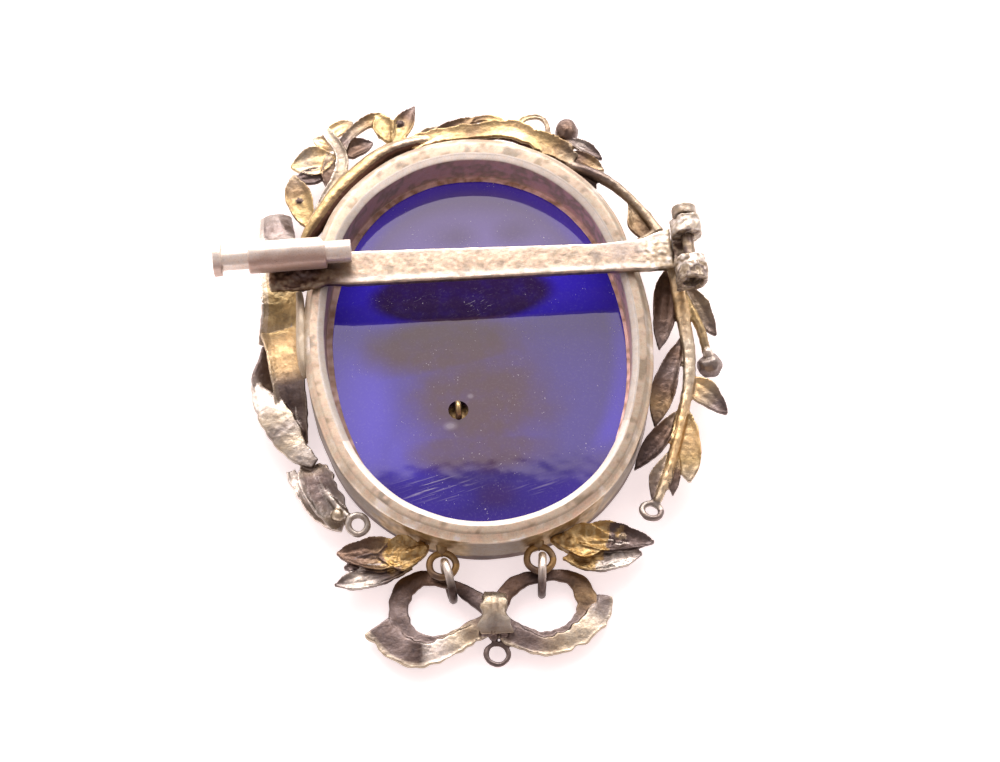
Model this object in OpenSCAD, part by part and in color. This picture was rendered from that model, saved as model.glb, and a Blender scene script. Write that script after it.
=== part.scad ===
// Pendant brooch lying face down: an oval blue glass in a deep silver bezel, a wreath of ribbon,
// leaves and berries soldered round it, a back bar with a sliding tube clasp and a pin hinge, and
// a ribbon bow hung from two jump rings. +Z is the brooch's back and +Y its top.

/* [Bezel] */
// Half the width of the opening in the bezel's rim
opening_half_w = 12.8; // [12.4:0.1:13.2]
// Half the height of the opening in the bezel's rim
opening_half_h = 16.9; // [16.4:0.1:17.2]
// Radius of the opening's round top and bottom
opening_end_r = 11.8; // [11.4:0.1:12]
// Thickness of the bezel's wall
wall = 1.8; // [1.6:0.05:2]
// Height of the rim above the front lip
rim_z = 4.65; // [4.4:0.05:4.9]
// How much broader the rim is at the top of the oval
crown = 0.6; // [0.3:0.1:0.8]

/* [Glass] */
// Thickness of the glass between the lip and the back ledge
glass_thick = 0.8; // [0.7:0.1:1]
// Radius of the hole that the staple passes through
staple_hole_r = 0.85; // [0.7:0.05:1]

/* [Back bar] */
// Thickness of the bar
bar_thick = 0.57; // [0.45:0.01:0.65]
// Outer radius of the fixed clasp tube
tube_r = 1.35; // [1.3:0.01:1.4]
// Length of the fixed clasp tube
tube_len = 6.5; // [6:0.1:7]

/* [Clasp slider] */
// Outer radius of the sliding tube
slider_r = 0.95; // [0.9:0.01:1]
// Radius of the bore that takes the pin's tip
slider_bore_r = 0.5; // [0.4:0.05:0.55]
// Radius of the pull flange
flange_r = 1.4; // [1.2:0.05:1.5]
// Length of the sliding tube past the fixed tube's right end
slider_reach = 2.1; // [2:0.1:2.3]

/* [Hinge] */
// Outer radius of the hinge knuckles
knuckle_r = 1.3; // [1.2:0.05:1.35]
// Radius of the hinge rivet
rivet_r = 0.5; // [0.45:0.01:0.55]
// Radius of the rivet's head
rivet_head_r = 1.05; // [0.95:0.05:1.1]

/* [Rings] */
// Radius of a jump ring, to the middle of its wire
jump_r = 1.6; // [1.55:0.01:1.65]
// Radius of a jump ring's wire
jump_wire_r = 0.33; // [0.3:0.01:0.35]
// Radius of a soldered drop ring, to the middle of its wire
drop_r = 1.05; // [1.0:0.01:1.1]
// Radius of a soldered drop ring's wire
drop_wire_r = 0.28; // [0.25:0.01:0.3]

/* [Wreath and bow] */
// Thickness of the sheet that leaves and ribbons are made of
sheet = 0.42; // [0.35:0.01:0.5]
// Radius of the upper berry
upper_berry_r = 1.1; // [0.9:0.05:1.2]
// Radius of the right berry
right_berry_r = 1.05; // [0.9:0.05:1.1]

/* [Hidden] */

// Place of the wreath's middle: the origin is on the resting plane, under the middle of the whole
bezel_x = 0.62;
bezel_y = 1.7;
// The opening lies this much above the wreath's middle
opening_y = 0.25;

// Gaps: a seam between soldered pieces, and the running fits of the clasp and the hinge
seam = 0.04;
run_gap = 0.05;

// Oval of four tangent arcs: two ends about (0, +-end_y) and two sides about (+-side_x, 0)
end_y = opening_half_h - opening_end_r;
side_x = (pow(opening_half_w, 2) + pow(end_y, 2) - pow(opening_end_r, 2))
    / (2 * (opening_half_w - opening_end_r)) - opening_half_w;
side_r = opening_half_w + side_x;
join_angle = atan2(end_y, side_x);
// Point past the wall on the line where an end meets a side
far_x = 1.5 * side_x;
far_y = 2.5 * end_y;

// Bezel wall: the lip at the front, the glass seat behind it and the bevelled rim at the back
lip_z = 0.4;
lip_reach = 0.9;
foot = 0.8;
belly_z = 0.7;
glass_z = 0.6;
ledge_z = glass_z + glass_thick + 0.05;
ledge_top_z = ledge_z + 0.2;
ledge_reach = 0.3;
seat_reach = 0.1;
bevel = 0.42;
outer_bevel_z = rim_z - 0.6;
drop_neck = 0.8;

// Staple in the glass, measured from the opening's middle
staple_x = -2.1;
staple_y = -5.55;
staple_wire_r = 0.25;
staple_loop_r = 0.55;
boss_r = 1.25;

// Back bar
bar_z = rim_z + 0.03;
bar_top_z = bar_z + bar_thick;

// Clasp: the tube's axis runs along X above the bar's left end
clasp_y = 7.8;
clasp_z = bar_top_z + tube_r - 0.08;
tube_x0 = -18.65;
tube_x1 = tube_x0 + tube_len;
tube_slant = 22;
flange_thick = 0.7;
slider_x0 = tube_x0 - 2.25;
slider_x1 = tube_x1 + slider_reach;
bore_depth = 8;

// Hinge: the axis runs along Y past the bar's right end
hinge_x = 18.3;
knuckle_foot_x = 17.04;
hinge_z = bar_z + knuckle_r;
upper_knuckle = [7.1, 8.7];
lower_knuckle = [2.7, 4.9];
rivet_span = [3.9, 9.0];
rivet_head_thick = 0.85;

// Columns of a strip's rows: place of the middle, width, roll and how far the edges rise
WIDTH = 3;
ROLL = 4;
CUP = 5;

// Columns of a leaf's row
HEADING = 3;
LENGTH = 4;
BREADTH = 5;
PITCH = 6;
LEAF_ROLL = 7;
LEAF_CUP = 8;
FULLNESS = 9;

// Divisions across a ribbon and across a leaf, steps along a leaf and sides of a stem's balls
RIBBON_DIVISIONS = 4;
LEAF_DIVISIONS = 3;
LEAF_STEPS = 7;
STEM_SIDES = 8;

function clamp_index(rows, i) = max(0, min(len(rows) - 1, i));

// Catmull-Rom curve through whole rows, so width, roll and cup run as smoothly as the places
function between(a, b, c, d, t) = 0.5 * (
    2 * b + (c - a) * t + (2 * a - 5 * b + 4 * c - d) * t * t
    + (3 * b - a - 3 * c + d) * t * t * t
);
function refined(rows, steps) = [
    for (i = [0:len(rows) - 2]) for (k = [0:steps - 1])
        between(
            rows[clamp_index(rows, i - 1)], rows[i], rows[i + 1],
            rows[clamp_index(rows, i + 2)], k / steps
        ),
    rows[len(rows) - 1]
];

function place(row) = [row[0], row[1], row[2]];
function unit(v) = v / norm(v);
function tangent(rows, i) =
    unit(place(rows[clamp_index(rows, i + 1)]) - place(rows[clamp_index(rows, i - 1)]));

// Cross-section of a strip at row i: the back face's points, then the front face's
function section(rows, i, thick, divisions) = let (
    row = rows[i],
    along = tangent(rows, i),
    flat_side = unit(cross([0, 0, 1], along)),
    flat_up = cross(along, flat_side),
    side = cos(row[ROLL]) * flat_side + sin(row[ROLL]) * flat_up,
    up = cross(along, side)
) [
    for (depth = [0, thick]) for (k = [0:divisions])
        let (s = 2 * k / divisions - 1)
        place(row) + side * s * row[WIDTH] / 2 + up * (row[CUP] * s * s - depth)
];

// Closed strip of sheet swept along its rows
module strip(rows, thick = sheet, divisions = RIBBON_DIVISIONS) {
    row_points = divisions + 1;
    ring = 2 * row_points;
    last = len(rows) - 1;
    points = [for (i = [0:last]) each section(rows, i, thick, divisions)];
    function quad(a, b, c, d) = [[a, b, c], [a, c, d]];
    faces = [
        for (i = [0:last - 1]) for (k = [0:divisions - 1])
            each quad(i * ring + k, i * ring + k + 1, (i + 1) * ring + k + 1, (i + 1) * ring + k),
        for (i = [0:last - 1]) for (k = [row_points:ring - 2])
            each quad((i + 1) * ring + k, (i + 1) * ring + k + 1, i * ring + k + 1, i * ring + k),
        for (i = [0:last - 1])
            each quad(i * ring, (i + 1) * ring, (i + 1) * ring + row_points, i * ring + row_points),
        for (i = [0:last - 1])
            each quad(
                i * ring + ring - 1, (i + 1) * ring + ring - 1,
                (i + 1) * ring + divisions, i * ring + divisions
            ),
        for (k = [0:divisions - 1])
            each quad(k + row_points, k + row_points + 1, k + 1, k),
        for (k = [0:divisions - 1])
            each quad(
                last * ring + k, last * ring + k + 1,
                last * ring + k + row_points + 1, last * ring + k + row_points
            )
    ];
    polyhedron(points, faces, convexity = 6);
}

// Outline of a leaf: the share of its breadth at the share t of its length
function leaf_outline(t, fullness) = max(0.1, pow(sin(180 * pow(t, fullness)), 0.8));

// Cupped leaf, hollow towards the back, from its row in a table
module leaf(row) {
    run = [cos(row[HEADING]) * cos(row[PITCH]), sin(row[HEADING]) * cos(row[PITCH]), sin(row[PITCH])];
    strip([
        for (i = [0:LEAF_STEPS])
            let (t = i / LEAF_STEPS, p = place(row) + run * row[LENGTH] * t)
            [
                p.x, p.y, p.z, row[BREADTH] * leaf_outline(t, row[FULLNESS]), row[LEAF_ROLL],
                row[LEAF_CUP] * sin(180 * t)
            ]
    ], divisions = LEAF_DIVISIONS);
}

module leaves(rows) {
    for (row = rows) leaf(row);
}

// Stem: rounded links between rows of x, y, z and radius
module stem(rows) {
    for (i = [0:len(rows) - 2]) hull() {
        for (row = [rows[i], rows[i + 1]]) translate(place(row)) sphere(r = row[3], $fn = STEM_SIDES);
    }
}

module ring(centre, r, wire_r, tilt, fn = 96) {
    translate(centre) rotate(tilt) rotate_extrude($fn = fn) translate([r, 0]) circle(r = wire_r, $fn = fn / 3);
}

module at_bezel() {
    translate([bezel_x, bezel_y, 0]) children();
}

module at_opening() {
    translate([0, opening_y, 0]) children();
}

// Points on the opening's oval moved outward by grow
function oval_arc(centre, r, from, span, steps) = [
    for (i = [0:steps - 1])
        let (a = from + span * i / steps) centre + r * [cos(a), sin(a)]
];
function oval(grow, steps = 16) = concat(
    oval_arc([-side_x, 0], side_r + grow, -join_angle, 2 * join_angle, steps),
    oval_arc([0, end_y], opening_end_r + grow, join_angle, 180 - 2 * join_angle, 2 * steps),
    oval_arc([side_x, 0], side_r + grow, 180 - join_angle, 2 * join_angle, steps),
    oval_arc([0, -end_y], opening_end_r + grow, 180 + join_angle, 180 - 2 * join_angle, 2 * steps)
);

drop_ring_places = [[-4.4, -19.25, 2.0], [3.45, -19.35, 2.0]];

// Room that the wreath leaves for the bezel and its drop rings
module bezel_room() {
    translate([0, 0, -1]) linear_extrude(rim_z + 3) {
        at_opening() {
            polygon(oval(wall + seam));
            translate([0, end_y + crown]) circle(r = opening_end_r + wall + seam, $fn = 96);
        }
        for (centre = drop_ring_places) translate([centre.x, centre.y])
            circle(r = drop_r + drop_wire_r + seam, $fn = 32);
    }
}

// Section of the bezel, outward from the opening's edge
bezel_profile = [
    [-lip_reach, 0.12],
    [-lip_reach + 0.12, 0],
    [foot, 0],
    [wall, belly_z],
    [wall, outer_bevel_z],
    [wall - 0.6, rim_z - 0.05],
    [bevel, rim_z],
    [0, rim_z - 0.35],
    [0, ledge_top_z],
    [-ledge_reach, ledge_top_z],
    [-ledge_reach, ledge_z],
    [seat_reach, ledge_z],
    [seat_reach, glass_z - 0.05],
    [-lip_reach, lip_z]
];

// Section of the broader rim at the top, a little below the rest
crown_profile = [
    [bevel + 0.2, 1.3],
    [wall - 0.4, 1],
    [wall, 1.3],
    [wall, outer_bevel_z - 0.03],
    [wall - 0.6, rim_z - 0.08],
    [bevel + 0.2, rim_z - 0.08]
];

// One arc of the bezel, cut from a full ring of the profile by the wedge with the given corners
module bezel_arc(centre, r, wedge, profile = bezel_profile) intersection() {
    translate(centre) rotate_extrude($fn = 192) translate([r, 0]) polygon(profile);
    translate([0, 0, -1]) linear_extrude(rim_z + 2) polygon(wedge);
}

module bezel() color("silver") at_bezel() {
    at_opening() {
        for (side = [-1, 1]) {
            bezel_arc(
                [-side * side_x, 0, 0], side_r,
                [[-side * side_x, 0], side * [far_x, far_y], side * [far_x, -far_y]]
            );
            bezel_arc(
                [0, side * end_y, 0], opening_end_r,
                side * [[0, end_y], [far_x, far_y], [far_x, 2 * far_x], [-far_x, 2 * far_x], [-far_x, far_y]]
            );
        }
        bezel_arc(
            [0, end_y + crown, 0], opening_end_r,
            [[-far_x, end_y], [far_x, end_y], [far_x, 2 * far_x], [-far_x, 2 * far_x]], crown_profile
        );
    }
    for (centre = drop_ring_places) {
        ring(centre, drop_r, drop_wire_r, [0, 0, 0]);
        translate(centre + [0, drop_r, 0]) rotate([-90, 0, 0])
            cylinder(r = 0.4, h = drop_neck, $fn = 32);
    }
}

module glass() color("mediumblue") at_bezel() at_opening() difference() {
    union() {
        translate([0, 0, glass_z]) linear_extrude(glass_thick) polygon(oval(seat_reach - 0.05));
        translate([0, 0, glass_z - 0.2]) linear_extrude(0.4) polygon(oval(-lip_reach - 0.3));
    }
    translate([staple_x, staple_y, 0]) cylinder(r = staple_hole_r, h = rim_z, $fn = 64);
}

// Brass wire loop behind the glass, its two legs and the plain boss that they hold in front
module staple() color("goldenrod") at_bezel() at_opening() translate([staple_x, staple_y, 0]) {
    loop_z = glass_z + glass_thick + 0.1;
    boss_z = 0.08;
    boss_top_z = glass_z - 0.25;
    translate([0, 0, loop_z]) rotate([90, 0, 90]) rotate_extrude(angle = 180, $fn = 96)
        translate([staple_loop_r, 0]) circle(r = staple_wire_r, $fn = 48);
    for (side = [-1, 1]) translate([0, side * staple_loop_r, boss_z])
        cylinder(r = staple_wire_r, h = loop_z - boss_z, $fn = 48);
    translate([0, 0, boss_z]) cylinder(r = boss_r, h = boss_top_z - boss_z, $fn = 64);
}

// Outline of the bar, from its solder plate on the left to the hinge plate on the right
bar_outline = [
    [-17.2, 8.3], [-17.0, 5.3], [-14.6, 5.2], [-12.1, 5.5], [-10.4, 5.3], [10.7, 4.8],
    [13.0, 4.7], [17.0, 4.6], [17.0, 8.5], [16.2, 8.3], [14.6, 7.7], [11.0, 7.5], [-10.2, 8.5]
];

module along_x(from, to, y, z, r) {
    translate([from, y, z]) rotate([0, 90, 0]) cylinder(r = r, h = to - from, $fn = 96);
}

module along_y(from, to, x, z, r) {
    translate([x, from, z]) rotate([-90, 0, 0]) cylinder(r = r, h = to - from, $fn = 96);
}

module back_bar() color("rosybrown") at_bezel() translate([0, 0, bar_z])
    linear_extrude(bar_thick) polygon(bar_outline);

// Fixed tube, filed flat where it is soldered to the bar, with its right end cut aslant
module clasp_tube() color("silver") at_bezel() difference() {
    along_x(tube_x0, tube_x1, clasp_y, clasp_z, tube_r);
    translate([tube_x1, clasp_y, clasp_z]) rotate([0, 0, tube_slant])
        translate([0, -5, -5]) cube([5, 10, 10]);
    translate([tube_x0 - 1, clasp_y - 5, 0]) cube([tube_len + 2, 10, bar_top_z + seam]);
    along_x(tube_x0 - 1, tube_x1 + 1, clasp_y, clasp_z, slider_r + run_gap);
}

// Two knuckles on one foot, past the bar's right end
module hinge_knuckles() color("rosybrown") at_bezel() difference() {
    union() {
        translate([knuckle_foot_x, lower_knuckle[0], bar_z])
            cube([hinge_x - knuckle_foot_x, upper_knuckle[1] - lower_knuckle[0], bar_thick]);
        for (span = [upper_knuckle, lower_knuckle]) {
            along_y(span[0], span[1], hinge_x, hinge_z, knuckle_r);
            translate([knuckle_foot_x, span[0], bar_z])
                cube([hinge_x - knuckle_foot_x, span[1] - span[0], knuckle_r]);
        }
    }
    along_y(lower_knuckle[0] - 1, upper_knuckle[1] + 1, hinge_x, hinge_z, rivet_r + run_gap);
    along_y(lower_knuckle[0] - 1, rivet_span[0], hinge_x, hinge_z, rivet_r + 0.3);
}

module clasp_slider() color("silver") at_bezel() difference() {
    union() {
        along_x(slider_x0, slider_x1, clasp_y, clasp_z, slider_r);
        along_x(slider_x0 - flange_thick, slider_x0, clasp_y, clasp_z, flange_r);
    }
    along_x(slider_x1 - bore_depth, slider_x1 + 1, clasp_y, clasp_z, slider_bore_r);
}

module hinge_rivet() color("dimgray") at_bezel() {
    along_y(rivet_span[0], rivet_span[1], hinge_x, hinge_z, rivet_r);
    along_y(rivet_span[1], rivet_span[1] + rivet_head_thick, hinge_x, hinge_z, rivet_head_r);
}

// Left ribbon. Columns: x, y, z, width, roll, cup
ribbon_upper = [
    [-16.7, 14.9, 1.5, 2.8, 0, -0.5],
    [-16.6, 13.0, 2.3, 3.1, 0, -0.5],
    [-16.5, 10.6, 2.6, 3.3, 0, -0.1],
    [-16.4, 7.6, 2.5, 3.4, 0, 0.35],
    [-16.3, 4.8, 2.4, 3.5, 0, 0.5],
    [-16.5, 3.0, 1.9, 3.7, 0, 0.4],
    [-16.8, 1.8, 1.2, 3.6, 0, 0.2]
];
ribbon_middle = [
    [-16.7, 3.0, 2.1, 3.4, 0, 0.4],
    [-16.5, 0.8, 2.4, 3.1, 0, 0.6],
    [-16.2, -1.6, 2.4, 2.7, 5, 0.6],
    [-15.8, -3.7, 2.0, 2.3, 10, 0.5],
    [-15.5, -5.6, 1.6, 1.7, 15, 0.3],
    [-15.2, -7.5, 1.3, 0.9, 20, 0.1]
];
ribbon_flap = [
    [-17.9, 1.9, 1.6, 0.6, -10, 0],
    [-18.0, 0.4, 1.5, 1.3, -20, 0],
    [-18.2, -1.2, 1.4, 2.0, -25, 0],
    [-18.0, -2.6, 1.3, 1.8, -25, 0]
];
ribbon_turn = [
    [-19.1, -1.6, 1.2, 0.8, -20, -0.1],
    [-18.3, -3.2, 1.5, 2.1, -20, -0.4],
    [-17.4, -5.0, 1.5, 2.7, -15, -0.5],
    [-16.4, -6.5, 1.4, 2.5, -10, -0.4],
    [-15.5, -7.75, 1.3, 2.3, 0, -0.3],
    [-14.9, -8.6, 1.3, 1.9, 0, -0.1],
    [-14.5, -9.3, 1.5, 1.2, 0, 0]
];
ribbon_lower = [
    [-14.6, -8.85, 1.65, 1.25, 0, 0.1],
    [-14.5, -10.5, 2.0, 2.5, 0, 0.5],
    [-14.0, -12.3, 2.0, 2.8, 0, 0.6],
    [-13.1, -13.8, 1.8, 2.4, 0, 0.4],
    [-12.6, -15.1, 1.4, 1.2, 0, 0.2]
];
ribbon_border = [
    [-16.3, -9.6, 1.2, 0.7, 0, 0.1],
    [-15.85, -11.0, 1.3, 0.95, 0, 0.1],
    [-15.15, -12.35, 1.3, 0.95, 0, 0.1],
    [-14.35, -13.6, 1.3, 0.95, 0, 0.1],
    [-13.3, -14.6, 1.3, 0.9, 0, 0.1],
    [-12.3, -15.05, 1.4, 0.7, 0, 0]
];
// Rod behind the ribbon's ends, out to its ring. Columns: x, y, z, radius
ribbon_rod = [
    [-16.9, 13.2, 1.6, 0.35],
    [-15.9, 9.0, 1.7, 0.4],
    [-15.6, 4.0, 1.7, 0.4],
    [-15.6, -1.9, 1.6, 0.38],
    [-15.5, -5.2, 1.4, 0.36],
    [-15.2, -7.8, 1.2, 0.34],
    [-14.5, -9.9, 1.4, 0.34],
    [-13.2, -12.5, 1.8, 0.36],
    [-12.0, -14.1, 2.0, 0.32],
    [-11.5, -14.6, 2.2, 0.3]
];
// Solder lug between the rod and the bezel
ribbon_lug = [[-15.6, 4.0, 1.7, 0.4], [-14.2, 4.0, 1.7, 0.4]];
ribbon_ring = [-11.0, -15.3, 2.3];
end_ring_r = 0.78;
end_ring_wire_r = 0.27;

module left_ribbon() color("darkkhaki") at_bezel() difference() {
    union() {
        for (rows = [ribbon_upper, ribbon_middle, ribbon_turn, ribbon_lower]) strip(refined(rows, 2));
        for (rows = [ribbon_flap, ribbon_border]) strip(rows);
        stem(ribbon_rod);
        stem(ribbon_lug);
        ring(ribbon_ring, end_ring_r, end_ring_wire_r, [15, 0, 0], 18);
    }
    bezel_room();
}

// Top branch. Columns of a stem: x, y, z, radius
top_stem = [
    [-14.2, 11.1, 2.6, 0.5],
    [-12.8, 13.0, 2.8, 0.85],
    [-11.0, 15.4, 2.9, 0.92],
    [-9.0, 17.4, 2.9, 0.92],
    [-6.9, 19.1, 2.9, 0.88],
    [-4.6, 20.0, 2.85, 0.75],
    [-1.8, 20.4, 2.7, 0.5],
    [1.8, 20.6, 2.6, 0.4],
    [4.3, 20.4, 2.6, 0.42],
    [6.8, 18.9, 2.6, 0.45],
    [8.5, 17.5, 2.6, 0.45],
    [9.8, 16.6, 2.8, 0.5],
    [11.1, 15.9, 2.9, 0.52],
    [12.4, 15.0, 2.9, 0.5],
    [13.6, 13.8, 2.9, 0.46],
    [14.75, 12.2, 3.0, 0.42],
    [15.7, 10.5, 3.2, 0.42],
    [16.3, 9.0, 3.6, 0.5]
];
// Neck under the upper berry
berry_neck = [
    [9.4, 19.9, 1.9, 0.5],
    [9.4, 18.9, 2.3, 0.5],
    [9.2, 17.9, 2.55, 0.5]
];
// Columns of a leaf: x, y, z, heading, length, breadth, pitch, roll, cup, fullness
top_leaves = [
    [-13.7, 12.6, 2.6, 102, 5.6, 2.4, 0, 0, 0.4, 0.95],
    [-15.3, 17.6, 2.5, 9, 3.8, 1.5, 0, 0, 0.1, 1.2],
    [-11.4, 15.2, 2.6, 93, 5.0, 1.5, 0, 0, 0.3, 1.0],
    [-10.9, 19.6, 2.6, 187, 4.2, 2.9, -4, 0, 0.35, 1.1],
    [-10.8, 20.6, 2.4, 150, 2.6, 1.5, -6, 0, 0.2, 1.0],
    [-11.9, 21.7, 2.5, 32, 3.0, 1.5, -2, 0, 0.2, 1.0],
    [-10.4, 19.9, 2.5, 20, 2.9, 1.9, 0, 0, 0.4, 0.8],
    [-6.2, 20.6, 2.8, 108, 3.2, 1.9, -2, 0, 0.4, 0.9],
    [-5.8, 20.2, 2.9, 64, 4.7, 1.8, -5, 0, 0.4, 0.8],
    [-4.2, 20.3, 2.9, 32, 3.0, 1.1, -2, 0, 0.2, 1.0],
    [-2.9, 20.1, 2.9, 30, 5.0, 1.7, -2, 0, 0.3, 0.9],
    [9.5, 19.8, 2.5, -38, 3.6, 1.2, -2, 0, 0.3, 1.0],
    [9.5, 18.45, 2.7, -37, 3.6, 1.4, -2, 0, 0.3, 1.0],
    [9.6, 17.0, 2.7, -52, 3.1, 1.6, -4, 0, 0.2, 1.1],
    [14.2, 12.9, 2.9, -74, 4.6, 2.2, 0, 0, 0.4, 1.1]
];
// Scrolls, arches and a band of ribbon. Columns: x, y, z, width, roll, cup
outer_scroll = [
    [-13.4, 12.6, 3.2, 0.6, 0, 0.1],
    [-12.7, 13.8, 3.3, 0.9, 0, 0.1],
    [-11.8, 15.45, 3.4, 1.0, 0, 0.2],
    [-10.95, 17.0, 3.2, 1.1, 0, 0.2],
    [-10.5, 18.7, 3.0, 1.1, 0, 0.2],
    [-10.7, 20.1, 2.9, 1.0, 0, 0.2],
    [-11.3, 21.35, 2.8, 1.0, 0, 0.2],
    [-11.8, 22.3, 2.7, 0.8, 0, 0.1]
];
inner_scroll = [
    [-10.6, 19.6, 2.8, 0.9, 0, 0.1],
    [-10.25, 20.8, 2.7, 1.0, 0, 0.2],
    [-9.6, 21.75, 2.7, 1.0, 0, 0.2],
    [-8.8, 22.5, 2.6, 1.1, 0, 0.2],
    [-8.0, 23.0, 2.6, 1.3, 0, 0.2],
    [-7.2, 23.0, 2.6, 1.7, 0, 0.2],
    [-6.7, 22.3, 2.65, 1.7, 0, 0.2],
    [-6.5, 21.3, 2.75, 1.4, 0, 0.1]
];
first_arch = [
    [-0.3, 21.3, 2.7, 0.7, 0, 0.1],
    [0.9, 22.2, 2.6, 0.6, 0, 0.1],
    [2.1, 22.6, 2.5, 0.6, 0, 0.1],
    [3.0, 22.4, 2.5, 0.9, 0, 0.1],
    [3.6, 21.8, 2.6, 1.2, 0, 0.1],
    [3.7, 20.9, 2.8, 1.2, 0, 0.1]
];
second_arch = [
    [5.3, 20.8, 2.8, 0.6, 0, 0.1],
    [5.5, 21.9, 2.6, 0.5, 0, 0.1],
    [6.3, 22.4, 2.5, 0.45, 0, 0.1],
    [7.2, 22.3, 2.5, 0.4, 0, 0.1],
    [7.75, 21.5, 2.6, 0.4, 0, 0.1],
    [7.8, 19.4, 2.8, 0.6, 0, 0.1]
];
gold_band = [
    [-4.0, 20.3, 3.15, 1.1, 0, 0.1],
    [-1.9, 20.6, 3.1, 1.0, 0, 0.1],
    [0.1, 20.65, 3.05, 0.9, 0, 0.1],
    [1.8, 20.7, 3.05, 1.0, 0, 0.1],
    [3.5, 20.95, 3.05, 1.4, 0, 0.1],
    [5.0, 20.65, 3.05, 1.6, 0, 0.2],
    [6.3, 19.85, 3.05, 1.5, 0, 0.2],
    [7.6, 19.05, 3.05, 2.0, 0, 0.2],
    [8.8, 18.05, 3.05, 1.7, 0, 0.2],
    [9.8, 17.3, 3.0, 1.5, 0, 0.1]
];
// Solder lugs under the stem's two ends
top_lugs = [
    [[-14.2, 11.1, 2.6, 0.4], [-12.0, 10.2, 2.4, 0.4]],
    [[16.2, 9.2, 3.5, 0.4], [13.0, 7.6, 3.0, 0.4]]
];
upper_berry = [9.45, 20.75, 1.9];
leaf_dots = [[-14.4, 15.3, 2.5, 0.28], [-5.2, 22.4, 2.6, 0.35]];

module top_branch() color("darkgoldenrod") at_bezel() difference() {
    union() {
        for (rows = concat([top_stem, berry_neck], top_lugs)) stem(rows);
        leaves(top_leaves);
        for (rows = [outer_scroll, inner_scroll, first_arch, second_arch, gold_band]) strip(rows);
        translate(upper_berry) sphere(r = upper_berry_r, $fn = 14);
        for (dot = leaf_dots) translate(place(dot)) sphere(r = dot[3], $fn = STEM_SIDES);
    }
    bezel_room();
}

// Right branch. Columns of a stem: x, y, z, radius
right_stem = [
    [17.0, 5.6, 3.9, 0.52],
    [17.2, 4.0, 3.7, 0.56],
    [17.35, 2.0, 3.3, 0.6],
    [17.45, -0.2, 3.0, 0.6],
    [17.5, -2.5, 2.9, 0.56],
    [17.1, -5.3, 2.9, 0.52],
    [16.4, -7.7, 2.9, 0.48],
    [15.6, -10.2, 2.8, 0.45],
    [14.8, -12.4, 2.6, 0.42],
    [13.95, -14.3, 2.5, 0.38],
    [13.45, -15.3, 2.4, 0.34]
];
berry_stem = [
    [17.4, 3.6, 3.1, 0.42],
    [18.15, 1.7, 3.0, 0.42],
    [18.8, -0.2, 2.8, 0.4],
    [19.1, -2.2, 2.4, 0.38]
];
// Columns of a leaf: x, y, z, heading, length, breadth, pitch, roll, cup, fullness
right_leaves = [
    [16.6, 5.9, 2.9, -101, 7.6, 2.2, -3, 0, 0.4, 0.9],
    [17.2, -0.6, 2.9, -112, 8.6, 2.1, -3, 0, 0.45, 1.25],
    [16.4, -7.3, 2.8, -132, 6.8, 2.0, -3, 0, 0.4, 1.05],
    [14.7, -11.2, 2.7, -112, 4.4, 1.8, -4, 0, 0.3, 1.05],
    [17.6, 4.7, 3.2, -64, 5.9, 2.1, -9, 0, 0.35, 1.1],
    [17.0, -4.6, 2.9, -47, 4.6, 2.2, -6, 0, 0.35, 0.9],
    [16.5, -6.4, 2.8, -92, 7.4, 2.5, -3, 0, 0.4, 1.3],
    [15.55, -11.1, 2.75, -102, 4.3, 1.25, -3, 0, 0.2, 1.1]
];
// Solder lug under the back bar
right_lug = [[17.0, 5.6, 3.7, 0.4], [14.0, 6.2, 3.0, 0.4]];
right_berry = [19.3, -3.1, 1.75];
right_ring = [12.85, -16.1, 2.4];

module right_branch() color("darkgoldenrod") at_bezel() difference() {
    union() {
        stem(right_stem);
        stem(berry_stem);
        stem(right_lug);
        leaves(right_leaves);
        translate(right_berry) sphere(r = right_berry_r, $fn = 14);
        ring(right_ring, end_ring_r, end_ring_wire_r, [-15, 10, 0], 18);
    }
    bezel_room();
}

// Leaf sprays at the foot of the bezel. Columns: x, y, z, heading, length, breadth, pitch, roll, cup, fullness
left_spray_leaves = [
    [-5.9, -18.1, 2.4, 179, 4.4, 2.9, -3, 0, 0.4, 1.0],
    [-6.6, -18.2, 2.2, 172, 6.4, 2.8, -5, 0, 0.5, 1.1],
    [-6.8, -18.9, 2.0, 177, 5.6, 1.9, -5, 0, 0.3, 1.0],
    [-6.9, -19.2, 2.0, 187, 6.4, 1.9, -5, 0, 0.3, 1.1]
];
left_spray_base = [
    [-5.7, -17.5, 1.9, 0.6],
    [-6.2, -17.8, 1.9, 0.65],
    [-6.7, -18.1, 1.8, 0.7],
    [-7.2, -18.3, 1.8, 0.7],
    [-7.7, -18.5, 1.7, 0.65],
    [-8.2, -18.6, 1.7, 0.6],
    [-8.7, -18.7, 1.7, 0.5],
    [-9.2, -18.8, 1.7, 0.4],
    [-9.7, -18.9, 1.6, 0.35]
];
right_spray_leaves = [
    [4.8, -18.0, 2.4, -4, 5.0, 2.8, -3, 0, 0.4, 1.0],
    [5.4, -17.7, 2.2, -6, 7.5, 2.5, -4, 0, 0.5, 1.05],
    [5.3, -19.4, 2.0, 1, 6.5, 2.7, -4, 0, 0.45, 1.05]
];
right_spray_base = [
    [4.8, -17.6, 1.9, 0.55],
    [5.2, -17.9, 1.9, 0.65],
    [5.6, -18.1, 1.8, 0.7],
    [6.0, -18.3, 1.8, 0.7],
    [6.5, -18.4, 1.7, 0.65],
    [7.0, -18.5, 1.7, 0.6],
    [7.5, -18.5, 1.7, 0.5],
    [8.0, -18.5, 1.7, 0.4],
    [8.5, -18.5, 1.6, 0.35]
];
spray_dot = [10.3, -17.9, 1.75];

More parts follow.
